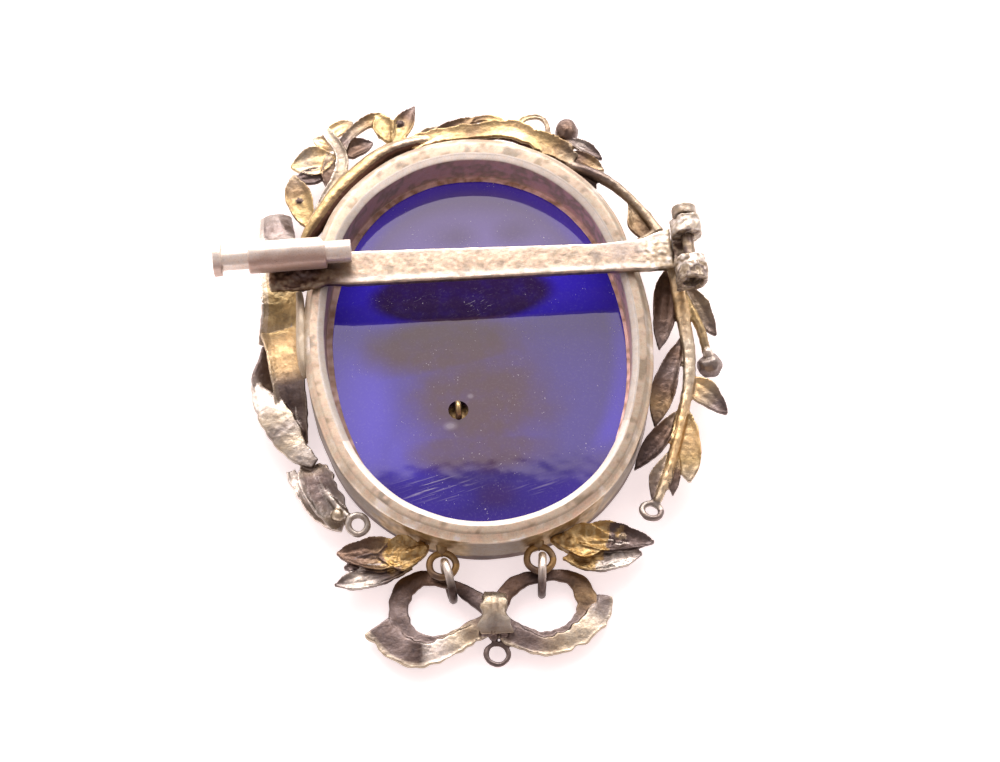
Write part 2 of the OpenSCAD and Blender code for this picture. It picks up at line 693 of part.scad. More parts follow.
module spray(leaf_rows, base_rows) {
    difference() {
        union() {
            leaves(leaf_rows);
            stem(base_rows);
            children();
        }
        bezel_room();
    }
}

module left_spray() color("goldenrod") at_bezel() spray(left_spray_leaves, left_spray_base);

module right_spray() color("goldenrod") at_bezel() spray(right_spray_leaves, right_spray_base)
    translate(spray_dot) sphere(r = 0.28, $fn = STEM_SIDES);

// Jump rings stand on edge between a drop ring and a strand of the bow
jump_left = [-4.0, -20.6, 1.95];
jump_right = [3.5, -20.75, 1.95];

module jump_ring_left() color("darkgray") at_bezel() ring(jump_left, jump_r, jump_wire_r, [90, 0, -80]);

module jump_ring_right() color("darkgray") at_bezel() ring(jump_right, jump_r, jump_wire_r, [90, 0, -96]);

// Bow. Columns: x, y, z, width, roll, cup
left_loop = [
    [-0.9, -23.0, 1.5, 1.5, 0, -0.1],
    [-1.7, -22.2, 1.4, 1.6, 0, -0.1],
    [-2.6, -21.5, 1.35, 1.4, 0, -0.1],
    [-3.4, -20.8, 1.4, 1.0, 0, 0],
    [-4.1, -20.6, 1.4, 0.95, 0, 0],
    [-5.2, -20.1, 1.25, 1.2, 0, 0],
    [-6.4, -19.8, 0.95, 1.6, 0, -0.1],
    [-7.6, -20.5, 0.85, 2.0, 0, -0.15],
    [-8.2, -22.0, 0.8, 1.8, 0, -0.2],
    [-8.1, -23.6, 0.85, 1.7, 0, -0.2],
    [-7.0, -25.0, 0.95, 1.6, 0, -0.2],
    [-5.2, -25.5, 1.05, 1.6, 0, -0.2],
    [-3.6, -25.1, 1.15, 1.6, 0, -0.1],
    [-2.3, -24.5, 1.3, 1.6, 0, -0.1],
    [-0.9, -23.9, 1.5, 1.4, 0, -0.1]
];
right_loop = [
    [-0.2, -23.1, 1.5, 1.5, 0, -0.1],
    [0.3, -22.0, 1.4, 1.6, 0, -0.1],
    [1.0, -21.2, 1.35, 1.7, 0, -0.1],
    [2.1, -20.7, 1.35, 1.4, 0, 0],
    [3.5, -20.65, 1.4, 1.05, 0, 0],
    [4.8, -20.5, 1.25, 1.2, 0, 0],
    [6.2, -20.9, 0.95, 1.6, 0, -0.1],
    [6.9, -22.3, 0.85, 2.0, 0, -0.15],
    [6.8, -23.8, 0.85, 2.0, 0, -0.2],
    [5.9, -25.0, 0.9, 1.8, 0, -0.2],
    [4.5, -25.7, 1.0, 1.6, 0, -0.2],
    [2.9, -25.8, 1.1, 1.6, 0, -0.2],
    [1.3, -25.1, 1.3, 1.6, 0, -0.1],
    [0.1, -24.2, 1.5, 1.5, 0, -0.1]
];
left_tail = [
    [-1.2, -24.5, 1.3, 1.2, 0, -0.1],
    [-2.5, -24.9, 1.1, 1.2, 5, -0.1],
    [-3.8, -25.5, 0.9, 1.3, 10, -0.1],
    [-5.2, -26.3, 0.75, 1.5, 12, -0.1],
    [-6.8, -26.5, 0.7, 1.7, 12, -0.1],
    [-8.2, -26.0, 0.7, 1.9, 10, -0.1],
    [-9.2, -24.9, 0.75, 2.1, 5, -0.1],
    [-10.1, -23.6, 0.8, 2.1, 0, -0.1]
];
right_tail = [
    [-0.1, -24.8, 1.3, 1.3, 0, -0.1],
    [1.1, -25.6, 1.1, 1.5, -5, -0.1],
    [2.3, -26.3, 0.85, 1.4, -10, -0.1],
    [4.0, -26.5, 0.75, 1.3, -12, -0.1],
    [5.6, -26.0, 0.7, 1.5, -12, -0.1],
    [7.0, -25.0, 0.7, 1.7, -8, -0.1],
    [8.1, -23.8, 0.75, 1.3, 0, -0.1]
];
// Folds of the knot. Columns: x, y, z, radius
knot_folds = [
    [[-0.8, -21.6, 1.5, 0.35], [-1.1, -22.7, 1.8, 0.4], [-1.3, -24.1, 1.8, 0.42], [-1.5, -25.2, 1.3, 0.4]],
    [[-0.3, -21.5, 1.6, 0.4], [-0.5, -22.8, 1.95, 0.45], [-0.7, -24.2, 1.95, 0.45], [-0.8, -25.6, 1.3, 0.4]],
    [[0.1, -21.7, 1.5, 0.35], [0.0, -22.8, 1.8, 0.4], [-0.1, -24.2, 1.8, 0.42], [0.1, -25.4, 1.3, 0.4]]
];
bow_ring = [-0.6, -26.75, 1.0];
bow_ring_r = 0.88;
bow_ring_wire_r = 0.22;
bow_sheet = 0.38;

module bow() color("gray") at_bezel() {
    for (rows = [left_loop, right_loop]) strip(refined(rows, 2), bow_sheet);
    for (rows = [left_tail, right_tail]) strip(rows, bow_sheet);
    for (fold = knot_folds) stem(fold);
    ring(bow_ring, bow_ring_r, bow_ring_wire_r, [0, 0, 0], 24);
}

bezel();
glass();
staple();
back_bar();
clasp_tube();
clasp_slider();
hinge_knuckles();
hinge_rivet();
left_ribbon();
top_branch();
right_branch();
left_spray();
right_spray();
jump_ring_left();
jump_ring_right();
bow();
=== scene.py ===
import math

import bmesh
import bpy
import numpy as np
from mathutils import Matrix, Vector, kdtree, noise


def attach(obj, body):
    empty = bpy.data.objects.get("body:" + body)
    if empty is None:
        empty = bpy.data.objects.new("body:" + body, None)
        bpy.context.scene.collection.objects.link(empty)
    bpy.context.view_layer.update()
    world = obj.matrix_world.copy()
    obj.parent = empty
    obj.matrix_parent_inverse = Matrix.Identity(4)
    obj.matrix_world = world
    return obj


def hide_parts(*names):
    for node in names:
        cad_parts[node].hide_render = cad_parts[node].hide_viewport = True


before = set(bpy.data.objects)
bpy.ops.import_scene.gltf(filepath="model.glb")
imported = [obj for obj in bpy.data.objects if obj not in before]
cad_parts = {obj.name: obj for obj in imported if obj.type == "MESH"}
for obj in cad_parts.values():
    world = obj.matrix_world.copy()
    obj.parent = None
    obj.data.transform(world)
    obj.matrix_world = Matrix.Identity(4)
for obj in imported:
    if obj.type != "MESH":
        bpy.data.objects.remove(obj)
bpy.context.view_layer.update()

MM = 0.001
# Place of the wreath's middle on the floor, and the height of the bezel's rim
MIDDLE = np.array([0.62, 1.7, 0])
RIM_Z = 4.65
OPENING_Y = 0.25
# Spacing of points along strips and rods, and the thickness of the wreath's and the bow's sheet
STEP = 0.15
SHEET, BOW_SHEET = 0.42, 0.38

scene = bpy.context.scene


def placed(name, data):
    """A new object in the scene"""
    obj = bpy.data.objects.new(name, data)
    scene.collection.objects.link(obj)
    return obj


def from_points(name, points, faces):
    mesh = bpy.data.meshes.new(name)
    mesh.from_pydata(points, [], faces)
    mesh.update()
    return placed(name, mesh)


# Camera

# Degrees that the camera is turned and raised, its distance, and its shift to the right and upward
CAMERA_TURN, CAMERA_RISE = -4.75, 64
CAMERA_DISTANCE = 180
CAMERA_RIGHT, CAMERA_UP = 1.825, -3.9
SENSOR_WIDTH = 36
FOCAL_PIXELS, PICTURE_PIXELS = 2160, 1000


def aim_camera():
    azimuth, elevation = math.radians(CAMERA_TURN), math.radians(CAMERA_RISE)
    back = Vector((
        math.sin(azimuth) * math.cos(elevation),
        -math.cos(azimuth) * math.cos(elevation),
        math.sin(elevation),
    ))
    right = Vector((math.cos(azimuth), math.sin(azimuth), 0))
    up = back.cross(right)
    target = Vector((MIDDLE[0], MIDDLE[1], RIM_Z))
    place = target + CAMERA_DISTANCE * back + CAMERA_RIGHT * right + CAMERA_UP * up
    data = bpy.data.cameras.new("camera")
    data.sensor_width = SENSOR_WIDTH
    data.lens = FOCAL_PIXELS * SENSOR_WIDTH / PICTURE_PIXELS
    data.clip_start, data.clip_end = 0.005, 20
    camera = placed("camera", data)
    turn = Matrix((right, up, back)).transposed().to_4x4()
    camera.matrix_world = Matrix.Translation(place * MM) @ turn
    scene.camera = camera


# Colours

def table(text):
    """Rows of numbers below a line of column names; words at the end of a row stay together"""
    rows = []
    for line in text.strip().split("\n")[1:]:
        cells = line.split()
        numbers = [float(cell) for cell in cells if not cell.isalpha()]
        words = " ".join(cell for cell in cells if cell.isalpha())
        rows.append((numbers, words) if words else numbers)
    return rows


# Metal tints as linear reflectances
TONES = {name: np.array(tint) for tint, name in table("""
red green blue name
0.86 0.82 0.77 white
0.58 0.55 0.51 silver
0.34 0.31 0.29 grey
0.20 0.165 0.16 mauve
0.09 0.068 0.064 dark
0.16 0.11 0.085 brown
0.42 0.24 0.16 copper
0.13 0.07 0.055 rust
0.37 0.31 0.23 tan
0.34 0.30 0.245 beige
0.60 0.54 0.43 cream
0.56 0.43 0.22 gold
0.30 0.215 0.125 bronze
0.42 0.27 0.10 ochre
0.84 0.63 0.35 sun
0.66 0.53 0.42 rim
0.97 0.92 0.86 bright
0.66 0.44 0.43 plum
0.92 0.64 0.60 rose
0.40 0.35 0.28 bar
0.56 0.43 0.38 dull
""")}


def clamp(x):
    return min(max(x, 0), 1)


def blend(a, b, w):
    """a where w is 0, b where it is 1"""
    return a + (b - a) * w


def peak(x, width):
    """1 where x is 0, falling off over width on both sides"""
    return math.exp(-(x / width) ** 2)


def tone_at(names, t=0):
    """Tint at t, from 0 to 1, along a row of tone names"""
    stops = [TONES[name] for name in names.split()]
    if len(stops) == 1:
        return stops[0]
    x = clamp(t) * (len(stops) - 1)
    i = min(int(x), len(stops) - 2)
    return blend(stops[i], stops[i + 1], x - i)


# Shapes in millimetres

class Shell:
    """Closed surfaces gathered into one mesh, each point with its own tint"""

    def __init__(self):
        self.points, self.faces, self.tints = [], [], []

    def add(self, points, faces, tints):
        base = len(self.points)
        self.points.extend(points)
        self.faces.extend(tuple(base + i for i in face) for face in faces)
        self.tints.extend(tints)


def refined(rows):
    """Points about STEP apart on a smooth curve through rows; straight runs join three rows or fewer"""
    rows = np.array(rows, float)
    last = len(rows) - 1
    out = []
    for i in range(last):
        a, b, c, d = rows[max(i - 1, 0)], rows[i], rows[i + 1], rows[min(i + 2, last)]
        n = max(1, int(round(np.linalg.norm(c[:3] - b[:3]) / STEP)))
        for k in range(n):
            t = k / n
            if last < 3:
                out.append(b + (c - b) * k / n)
            else:
                out.append(0.5 * (
                    2 * b + (c - a) * t + (2 * a - 5 * b + 4 * c - d) * t * t
                    + (3 * b - a - 3 * c + d) * t ** 3
                ))
    out.append(rows[last])
    return np.array(out)


def unit(v):
    return v / max(np.linalg.norm(v), 1e-9)


def heading(rows, i, closed=False):
    """Unit direction of a run of rows at one of them"""
    n = len(rows)
    if closed:
        return unit(rows[(i + 1) % n][:3] - rows[i - 1][:3])
    return unit(rows[min(i + 1, n - 1)][:3] - rows[max(i - 1, 0)][:3])


def wander(p, size, seed):
    """Smooth noise about size millimetres across, from -1 to 1"""
    place = (p[0] / size + seed * 7.3, p[1] / size - seed * 3.1, p[2] / size + seed)
    return noise.noise(Vector(place))


def loft(rings, size, closed):
    """Faces between rings that have size points each"""
    faces = []
    for i in range(rings if closed else rings - 1):
        a, b = i * size, (i + 1) % rings * size
        for k in range(size):
            m = (k + 1) % size
            faces.append((a + k, a + m, b + m, b + k))
    return faces


# Faces across a strip, and how far its raised rim and its edge's painted highlight reach inward, by its half
# width
ACROSS = 9
RIM_REACH, HIGHLIGHT_REACH = 0.16, 0.22


def strip(shell, rows, names, thick=SHEET, rim=0, rib=0, ragged=0.06, seed=1, edge=None, lit=(1, 1)):
    """Closed strip of sheet swept along rows of x, y, z, width, cup and perhaps roll

    The raised rim and the edge's painted highlight show on its two edges by the two weights of lit.
    """
    rows = refined(rows)
    last = len(rows) - 1
    row_points = ACROSS + 1
    highlight_tone = tone_at(edge) if edge else None
    points, tints, faces = [], [], []
    for i, row in enumerate(rows):
        along = heading(rows, i)
        side = unit(np.cross([0, 0, 1], along))
        roll = math.radians(row[5]) if len(row) > 5 else 0.0
        side = math.cos(roll) * side + math.sin(roll) * np.cross(along, side)
        up = np.cross(along, side)
        t = i / last
        tone = tone_at(names, t)
        for depth in (0, thick):
            for k in range(row_points):
                s = 2 * k / ACROSS - 1
                reach = row[3] / 2 * s
                if k in (0, ACROSS):
                    reach *= 1 + ragged * wander(row, 0.7, seed + k)
                lift = row[4] * s * s - depth
                weight = lit[0] if s < 0 else lit[1]
                if depth == 0:
                    lift += rim * weight * peak(1 - abs(s), RIM_REACH)
                    lift += rib * peak(s, RIM_REACH) * math.sin(math.pi * min(1, t * 1.1))
                points.append(row[:3] + side * reach + up * lift)
                # Painted highlight along the lit edges
                if edge:
                    tints.append(blend(tone, highlight_tone, weight * peak(1 - abs(s), HIGHLIGHT_REACH)))
                else:
                    tints.append(tone)
    ring = 2 * row_points
    for i in range(last):
        a, b = i * ring, (i + 1) * ring
        for k in range(ACROSS):
            faces.append((a + k, a + k + 1, b + k + 1, b + k))
            j = k + row_points
            faces.append((b + j, b + j + 1, a + j + 1, a + j))
        faces.append((a, b, b + row_points, a + row_points))
        faces.append((a + ring - 1, b + ring - 1, b + ACROSS, a + ACROSS))
    e = last * ring
    for k in range(ACROSS):
        faces.append((k + row_points, k + row_points + 1, k + 1, k))
        faces.append((e + k, e + k + 1, e + k + row_points + 1, e + k + row_points))
    shell.add(points, faces, tints)


# Spacing of points along a leaf, and its least width by its breadth
LEAF_STEP, LEAF_TIP = 0.16, 0.1


def leaf(shell, row, names, seed=1):
    """Cupped leaf from x, y, z, heading, length, breadth, pitch, cup and fullness"""
    x, y, z, turn, length, breadth, pitch, cup, fullness = row
    h, p = math.radians(turn), math.radians(pitch)
    run = np.array([math.cos(h) * math.cos(p), math.sin(h) * math.cos(p), math.sin(p)])
    bend = np.array([-math.sin(h), math.cos(h), 0])
    rows = []
    n = max(10, int(length / LEAF_STEP))
    for i in range(n + 1):
        t = i / n
        width = breadth * max(LEAF_TIP, math.sin(math.pi * t ** fullness) ** 0.8)
        width *= 1 + 0.07 * math.sin(9 * t + seed)
        sway = 0.05 * length * math.sin(math.pi * t) * math.sin(seed * 2.3) * 0.5
        at = np.array([x, y, z]) + run * length * t + bend * sway
        rows.append([*at, width, cup * math.sin(math.pi * t)])
    strip(shell, rows, names, rib=0.1, rim=0.03, seed=seed)


# Length of a rod's rounded end by its radius, and the x where its shade starts to fade and is faintest
ROD_TIP = 0.8
SHADE_FULL, SHADE_FAINT = 7, 11


def tube(shell, rows, names, sides=14, rough=0.05, seed=1, closed=False, shade=None, ridge=0):
    """Rod through rows of x, y, z and radius, with rounded ends; shade darkens the side toward the bezel"""
    rows = refined(rows)
    n = len(rows)
    points, tints = [], []
    side = None
    for i, row in enumerate(rows):
        along = heading(rows, i, closed)
        if side is None:
            side = np.cross(along, [0, 0, 1] if abs(along[2]) < 0.9 else [1, 0, 0])
        side = unit(side - along * (side @ along))
        up = np.cross(along, side)
        tone = tone_at(names, i / (n - 1))
        inward = unit(np.array([-row[0], -row[1], 0]))
        for k in range(sides):
            a = 2 * math.pi * k / sides
            r = row[3] * (1 + rough * wander((row[0] + k * 0.3, row[1], row[2]), 0.6, seed))
            r *= 1 + ridge * math.cos(3 * a + 0.05 * i)
            out = math.cos(a) * side + math.sin(a) * up
            points.append(row[:3] + r * out)
            tint = tone
            if shade is not None:
                fading = max(clamp((SHADE_FAINT - row[0]) / (SHADE_FAINT - SHADE_FULL)), 0.25)
                tint = blend(tone, tone_at(shade), clamp((out @ inward + 0.05) / 0.45) * fading)
            tints.append(tint)
    faces = loft(n, sides, closed)
    for end, sign in () if closed else ((0, -1), (n - 1, 1)):
        tip = len(points)
        points.append(rows[end][:3] + heading(rows, end) * sign * rows[end][3] * ROD_TIP)
        tints.append(tints[end * sides])
        for k in range(sides):
            pair = (end * sides + k, end * sides + (k + 1) % sides)
            faces.append((*pair[::sign], tip))
    shell.add(points, faces, tints)


def ball(shell, centre, r, names, seed=1, rough=0.08, squash=(1, 1, 1)):
    """Ball with a dimpled surface"""
    bm = bmesh.new()
    bmesh.ops.create_icosphere(bm, subdivisions=4, radius=1)
    points, tints = [], []
    for v in bm.verts:
        d = np.array(v.co)
        k = r * (1 + rough * wander(d, 0.8, seed) + 0.4 * rough * wander(d, 0.3, seed + 4))
        points.append(centre + d * k * squash)
        tints.append(tone_at(names, (d[2] + 1) / 2))
    faces = [tuple(v.index for v in f.verts) for f in bm.faces]
    bm.free()
    shell.add(points, faces, tints)


def ring(shell, centre, r, wire, tilt, names, seed=1, steps=72, sides=18):
    """Closed ring of wire, turned by the three angles of tilt in order about X, Y and Z"""
    x, y, z = (math.radians(a) for a in tilt)
    turn = np.array(Matrix.Rotation(z, 3, "Z") @ Matrix.Rotation(y, 3, "Y") @ Matrix.Rotation(x, 3, "X"))
    rows = []
    for i in range(steps):
        a = 2 * math.pi * i / steps
        far = r * (1 + 0.02 * math.sin(2 * a + seed) + 0.01 * math.sin(5 * a + seed))
        at = turn @ np.array([far * math.cos(a), far * math.sin(a), 0]) + centre
        rows.append([*at, wire])
    tube(shell, rows, names, sides=sides, rough=0.06, seed=seed, closed=True)


# The bezel's oval

# The opening's outline: how far the centres of its end and side arcs lie from its middle, and their radii
END_Y, SIDE_X, END_R, SIDE_R = 5.1, 12.505, 11.8, 25.305
# How much further up the broader rim at the top has its centre
CROWN = 0.6
# Degrees of a side arc from its middle to the place where it meets an end arc
JOIN = math.degrees(math.atan2(END_Y, SIDE_X))


def oval(grow, count):
    """About count evenly spaced points on the opening's oval, moved outward by grow, and their normals"""
    arcs = [
        ((-SIDE_X, 0), SIDE_R, -JOIN, 2 * JOIN),
        ((0, END_Y), END_R, JOIN, 180 - 2 * JOIN),
        ((SIDE_X, 0), SIDE_R, 180 - JOIN, 2 * JOIN),
        ((0, -END_Y), END_R, 180 + JOIN, 180 - 2 * JOIN),
    ]
    total = sum(r * span for _, r, _, span in arcs)
    points, normals = [], []
    for centre, r, start, span in arcs:
        n = max(2, int(round(count * r * span / total)))
        for i in range(n):
            a = math.radians(start + span * i / n)
            normals.append((math.cos(a), math.sin(a)))
            points.append((
                centre[0] + (r + grow) * math.cos(a),
                centre[1] + (r + grow) * math.sin(a) + OPENING_Y,
            ))
    return np.array(points), np.array(normals)


def crowned(points, grow):
    """The same points pushed out to the broader rim at the oval's top"""
    centre = np.array([0, OPENING_Y + END_Y + CROWN])
    away = points - centre
    far = np.linalg.norm(away, axis=1)
    return centre + away * np.maximum(1, (END_R + grow) / far)[:, None]


# The two rings below the bezel, their radius and that of their wire
DROP_RINGS = [(-4.4, -19.25, 2), (3.45, -19.35, 2)]
DROP_R, DROP_WIRE = 1.05, 0.28
# How far the bezel reaches outward from its opening, and the gap between it and the wreath
WALL, SEAM = 1.8, 0.04


def prism(outline, name):
    """Upright prism, taller than the wreath"""
    n = len(outline)
    points = [(x, y, z) for z in (-1, RIM_Z + 2) for x, y in outline]
    faces = [tuple(range(n))[::-1], tuple(range(n, 2 * n))]
    faces += [(i, (i + 1) % n, n + (i + 1) % n, n + i) for i in range(n)]
    return from_points(name, points, faces)


def room_cutters():
    """Prisms that keep the wreath clear of the bezel and its drop rings"""
    outline, _ = oval(WALL + SEAM, 240)
    cutters = [prism(crowned(outline, WALL + SEAM).tolist(), "cut_oval")]
    r = DROP_R + DROP_WIRE + SEAM
    turns = [2 * math.pi * i / 48 for i in range(48)]
    for k, (x, y, _) in enumerate(DROP_RINGS):
        circle = [(x + r * math.cos(a), y + r * math.sin(a)) for a in turns]
        cutters.append(prism(circle, f"cut_ring_{k}"))
    return cutters


# From shells to pieces

def triples(items, key):
    """Three numbers of each item as the rows of an array"""
    out = np.zeros(len(items) * 3)
    items.foreach_get(key, out)
    return out.reshape(-1, 3)


def set_coordinates(mesh, co):
    mesh.vertices.foreach_set("co", co.reshape(-1))
    mesh.update()


def roughen(obj, layers, inside=None):
    """Moves points along their normals by layers of noise: amount and size in millimetres, and seed"""
    co, normals = triples(obj.data.vertices, "co"), triples(obj.data.vertex_normals, "vector")
    move = np.zeros(len(co))
    for amount, size, seed in layers:
        move += amount * np.array([wander(p, size, seed) for p in co])
    if inside is not None:
        move *= inside(co)
    set_coordinates(obj.data, co + normals * move[:, None])


def paint(obj, colour):
    """Gives each point the tint that colour returns for its place"""
    mesh = obj.data
    layer = mesh.attributes.new("tint", "FLOAT_COLOR", "POINT")
    values = np.ones((len(mesh.vertices), 4), np.float32)
    for i, p in enumerate(triples(mesh.vertices, "co")):
        values[i, :3] = colour(p)
    layer.data.foreach_set("color", values.reshape(-1))


def nearest_tint(shell):
    """Returns, for any place, the tint of the shell's point nearest to it"""
    tree = kdtree.KDTree(len(shell.points))
    for i, p in enumerate(shell.points):
        tree.insert(p, i)
    tree.balance()
    return lambda p: shell.tints[tree.find(p)[1]]


def to_object(shell, name):
    obj = from_points(name, shell.points, shell.faces)
    bm = bmesh.new()
    bm.from_mesh(obj.data)
    bmesh.ops.recalc_face_normals(bm, faces=bm.faces)
    bm.to_mesh(obj.data)
    bm.free()
    return obj


def remeshed(obj, voxel, smooth, cutters=()):
    """Turns overlapping surfaces into one smooth skin, less the cutters"""
    remesh = obj.modifiers.new("remesh", "REMESH")
    remesh.mode = "VOXEL"
    remesh.voxel_size = voxel
    soften = obj.modifiers.new("soften", "SMOOTH")
    soften.factor = 0.5
    soften.iterations = smooth
    for cutter in cutters:
        cut = obj.modifiers.new("cut", "BOOLEAN")
        cut.operation = "DIFFERENCE"
        cut.solver = "MANIFOLD"
        cut.object = cutter
    old = obj.data
    obj.data = bpy.data.meshes.new_from_object(obj.evaluated_get(bpy.context.evaluated_depsgraph_get()))
    obj.modifiers.clear()
    bpy.data.meshes.remove(old)


def finish_piece(obj, material, node, body="brooch"):
    """Smooth shading, metres, the wreath's place and the body it belongs to; hides the node's own part"""
    mesh = obj.data
    mesh.materials.clear()
    mesh.materials.append(material)
    mesh.polygons.foreach_set("use_smooth", [True] * len(mesh.polygons))
    set_coordinates(mesh, (triples(mesh.vertices, "co") + MIDDLE) * MM)
    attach(obj, body)
    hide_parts(node)
    return obj


def finish_cast(shell, metal, node, voxel=0.09, cutters=(), grain=((0.035, 0.55, 1), (0.015, 0.2, 2))):
    """One worn casting out of a shell's overlapping surfaces, in a node's place"""
    obj = to_object(shell, node + "_looks")
    remeshed(obj, voxel, 3, cutters)
    roughen(obj, grain)
    paint(obj, nearest_tint(shell))
    finish_piece(obj, metal, node)


def finish_plain(shell, metal, node):
    """A shell as it is, in a node's place"""
    obj = to_object(shell, node + "_looks")
    paint(obj, nearest_tint(shell))
    return finish_piece(obj, metal, node)


def finish_copy(node, metal, voxel, smooth, grain, colour, inside=None, body="brooch"):
    """A node's own shape with worn edges and its own tints"""
    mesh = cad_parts[node].data.copy()
    obj = placed(node + "_looks", mesh)
    set_coordinates(mesh, triples(mesh.vertices, "co") / MM - MIDDLE)
    bm = bmesh.new()
    bm.from_mesh(mesh)
    bmesh.ops.remove_doubles(bm, verts=bm.verts, dist=0.0005)
    bm.to_mesh(mesh)
    bm.free()
    remeshed(obj, voxel, smooth)
    roughen(obj, grain, inside)
    paint(obj, colour)
    finish_piece(obj, metal, node, body)


# Materials

class Nodes:
    """A new node tree; most methods add a node and return its output"""

    def __init__(self, owner, output, shader, coords):
        owner.use_nodes = True
        self.owner = owner
        self.tree = owner.node_tree
        self.tree.nodes.clear()
        self.shader = self.add(shader)
        self.add(output, Surface=self.shader.outputs[0])
        self.coords = self.add("TexCoord").outputs[coords]

    def add(self, kind, **inputs):
        return self.fill(self.tree.nodes.new("ShaderNode" + kind), inputs)

    def fill(self, node, inputs):
        """Sets inputs by their names, with an underscore for each space"""
        for key, value in inputs.items():
            self.put(value, node.inputs[key.replace("_", " ")])
        return node

    def finish(self, **inputs):
        """Sets the shader's inputs and returns the material or world"""
        self.fill(self.shader, inputs)
        return self.owner

    def put(self, value, socket):
        """Sets a socket to a number, colour or vector, or links an output to it"""
        if isinstance(value, (int, float)):
            socket.default_value = value
        elif isinstance(value, tuple):
            socket.default_value = (*value, 1)[:len(socket.default_value)]
        else:
            self.tree.links.new(value, socket)

    def noise(self, size, detail=3, roughness=0.6, stretch=(1, 1, 1), turn=0, distortion=0, offset=0):
        """Noise whose features are about size millimetres"""
        scale = tuple(size * MM / s for s in stretch)
        shift = tuple(offset * MM * k for k in (17, 11, 23))
        mapping = self.add(
            "Mapping", Vector=self.coords, Scale=scale, Rotation=(0, 0, math.radians(turn)), Location=shift)
        mapping.vector_type = "TEXTURE"
        node = self.add(
            "TexNoise", Vector=mapping.outputs[0], Scale=1, Detail=detail, Roughness=roughness,
            Distortion=distortion)
        return node.outputs["Fac"]

    def ramp(self, value, low, high, a=0, b=1, kind="SMOOTHSTEP"):
        """From a to b while value goes from low to high"""
        node = self.add("MapRange", Value=value, From_Min=low, From_Max=high, To_Min=a, To_Max=b)
        node.interpolation_type = kind
        return node.outputs[0]

    def math(self, operation, a, b=0):
        node = self.add("Math")
        node.operation = operation
        self.put(a, node.inputs[0])
        self.put(b, node.inputs[1])
        return node.outputs[0]

    def times(self, a, b):
        return self.math("MULTIPLY", a, b)

    def highest(self, *values):
        out = values[0]
        for value in values[1:]:
            out = self.math("MAXIMUM", out, value)
        return out

    def mix(self, factor, a, b, blend="MIX"):
        node = self.add("Mix")
        node.data_type = "RGBA"
        node.blend_type = blend
        self.fill(node, {"Factor": factor, "A": a, "B": b})
        return node.outputs["Result"]

    def bump(self, height, distance, strength=1, below=None):
        node = self.add("Bump", Height=height, Distance=distance * MM, Strength=strength)
        if below is not None:
            self.fill(node, {"Normal": below})
        return node.outputs[0]

    def parts(self, vector):
        """The outputs X, Y and Z of a vector"""
        return self.add("SeparateXYZ", Vector=vector).outputs

    def surface(self, key):
        """The surface's Normal or Pointiness"""
        return self.add("NewGeometry").outputs[key]


def material_nodes(name):
    return Nodes(bpy.data.materials.new(name), "OutputMaterial", "BsdfPrincipled", "Object")


def old_metal(name, tarnish=(0.10, 0.066, 0.055), amount=0.5, roughness=(0.28, 0.5), side=0.35,
              scratches=0.35, pits=0.03, blotch=1.6, metallic=1):
    """Old silver or gilt: its own tints, scratches, tarnish in hollows and in blotches, and darkening on
    steep sides that is partly tarnish and partly painted shade
    """
    n = material_nodes(name)
    attribute = n.add("Attribute")
    attribute.attribute_name = "tint"
    blotches = n.noise(blotch, detail=5, roughness=0.62, distortion=0.6)
    fine = n.noise(0.35, detail=4, roughness=0.7, offset=3)
    speck = n.noise(0.13, detail=2, roughness=0.7, offset=9)
    warm = n.ramp(fine, 0.35, 0.7, 0, 0.45)
    tone = n.mix(warm, attribute.outputs["Color"], (1, 0.84, 0.66), "MULTIPLY")
    tone = n.mix(n.ramp(speck, 0.4, 0.7, 0, 0.22), tone, (0.55, 0.5, 0.48), "MULTIPLY")
    # Steep sides get darker: partly tarnish, partly painted shade
    sides = n.ramp(n.parts(n.surface("Normal"))["Z"], 0.75, 0, 0, side)
    patch = n.ramp(blotches, 0.46, 0.7, 0, amount)
    spots = n.ramp(speck, 0.62, 0.8, 0, 0.4)
    worn = n.ramp(n.surface("Pointiness"), 0.5, 0.56, 0, 0.35)
    hollow = n.ramp(n.surface("Pointiness"), 0.5, 0.42, 0, 0.65)
    tarnish_and_side_shade = n.math("SUBTRACT", n.highest(sides, patch, hollow, spots), worn)
    uneven = n.math("ADD", n.times(fine, 0.5), n.times(blotches, 0.5))
    lines = n.noise(0.07, detail=2, stretch=(0.05, 1, 0.3), turn=45, offset=5)
    crossing = n.noise(0.08, detail=2, stretch=(0.05, 1, 0.3), turn=-17, offset=7)
    normal = n.bump(fine, pits)
    normal = n.bump(speck, pits * 0.35, below=normal)
    normal = n.bump(n.math("ADD", lines, crossing), 0.012, scratches, below=normal)
    return n.finish(
        Base_Color=n.mix(tarnish_and_side_shade, tone, tarnish), Metallic=metallic, Normal=normal,
        Roughness=n.ramp(uneven, 0.35, 0.65, *roughness))


# Dark patches painted into the glass where it mirrors dark things, which fade between two distances from
# their middle, by their half sizes
GLASS_DARK_REFLECTIONS = table("""
x y half_width half_height fades_from fades_to strength
-2.8 0.6 7.8 3.4 0.5 1.15 1
-0.3 -4.6 7.4 7 0.35 1.15 1
0.6 -9.4 5.6 2.3 0.4 1.15 0.9
-2.6 -9.2 4.4 2.3 0.4 1.15 0.85
-1 5.4 7.9 2.9 0.86 1.1 1
-1.2 11.1 2.8 1.8 0 1.2 0.6
3.9 11.1 2.5 1.6 0 1.2 0.55
0.6 -13.4 2 1.4 0.2 1.2 0.35
""")
# Painted light: brighter blue patches where light passes through the glass, with the same columns
GLASS_PAINTED_GLOWS = table("""
x y half_width half_height fades_from fades_to strength
-10.4 -4.6 3.6 8.2 0.3 1.15 1
-6.4 -9.4 3.6 3.6 0.2 1.2 0.55
-4.6 -13.2 3.6 1.7 0.5 1.1 0.2
5 -13.2 4.6 1.6 0.4 1.2 0.12
""")
# How much higher the patches lie than their tables say
PATCH_LIFT = 0.2


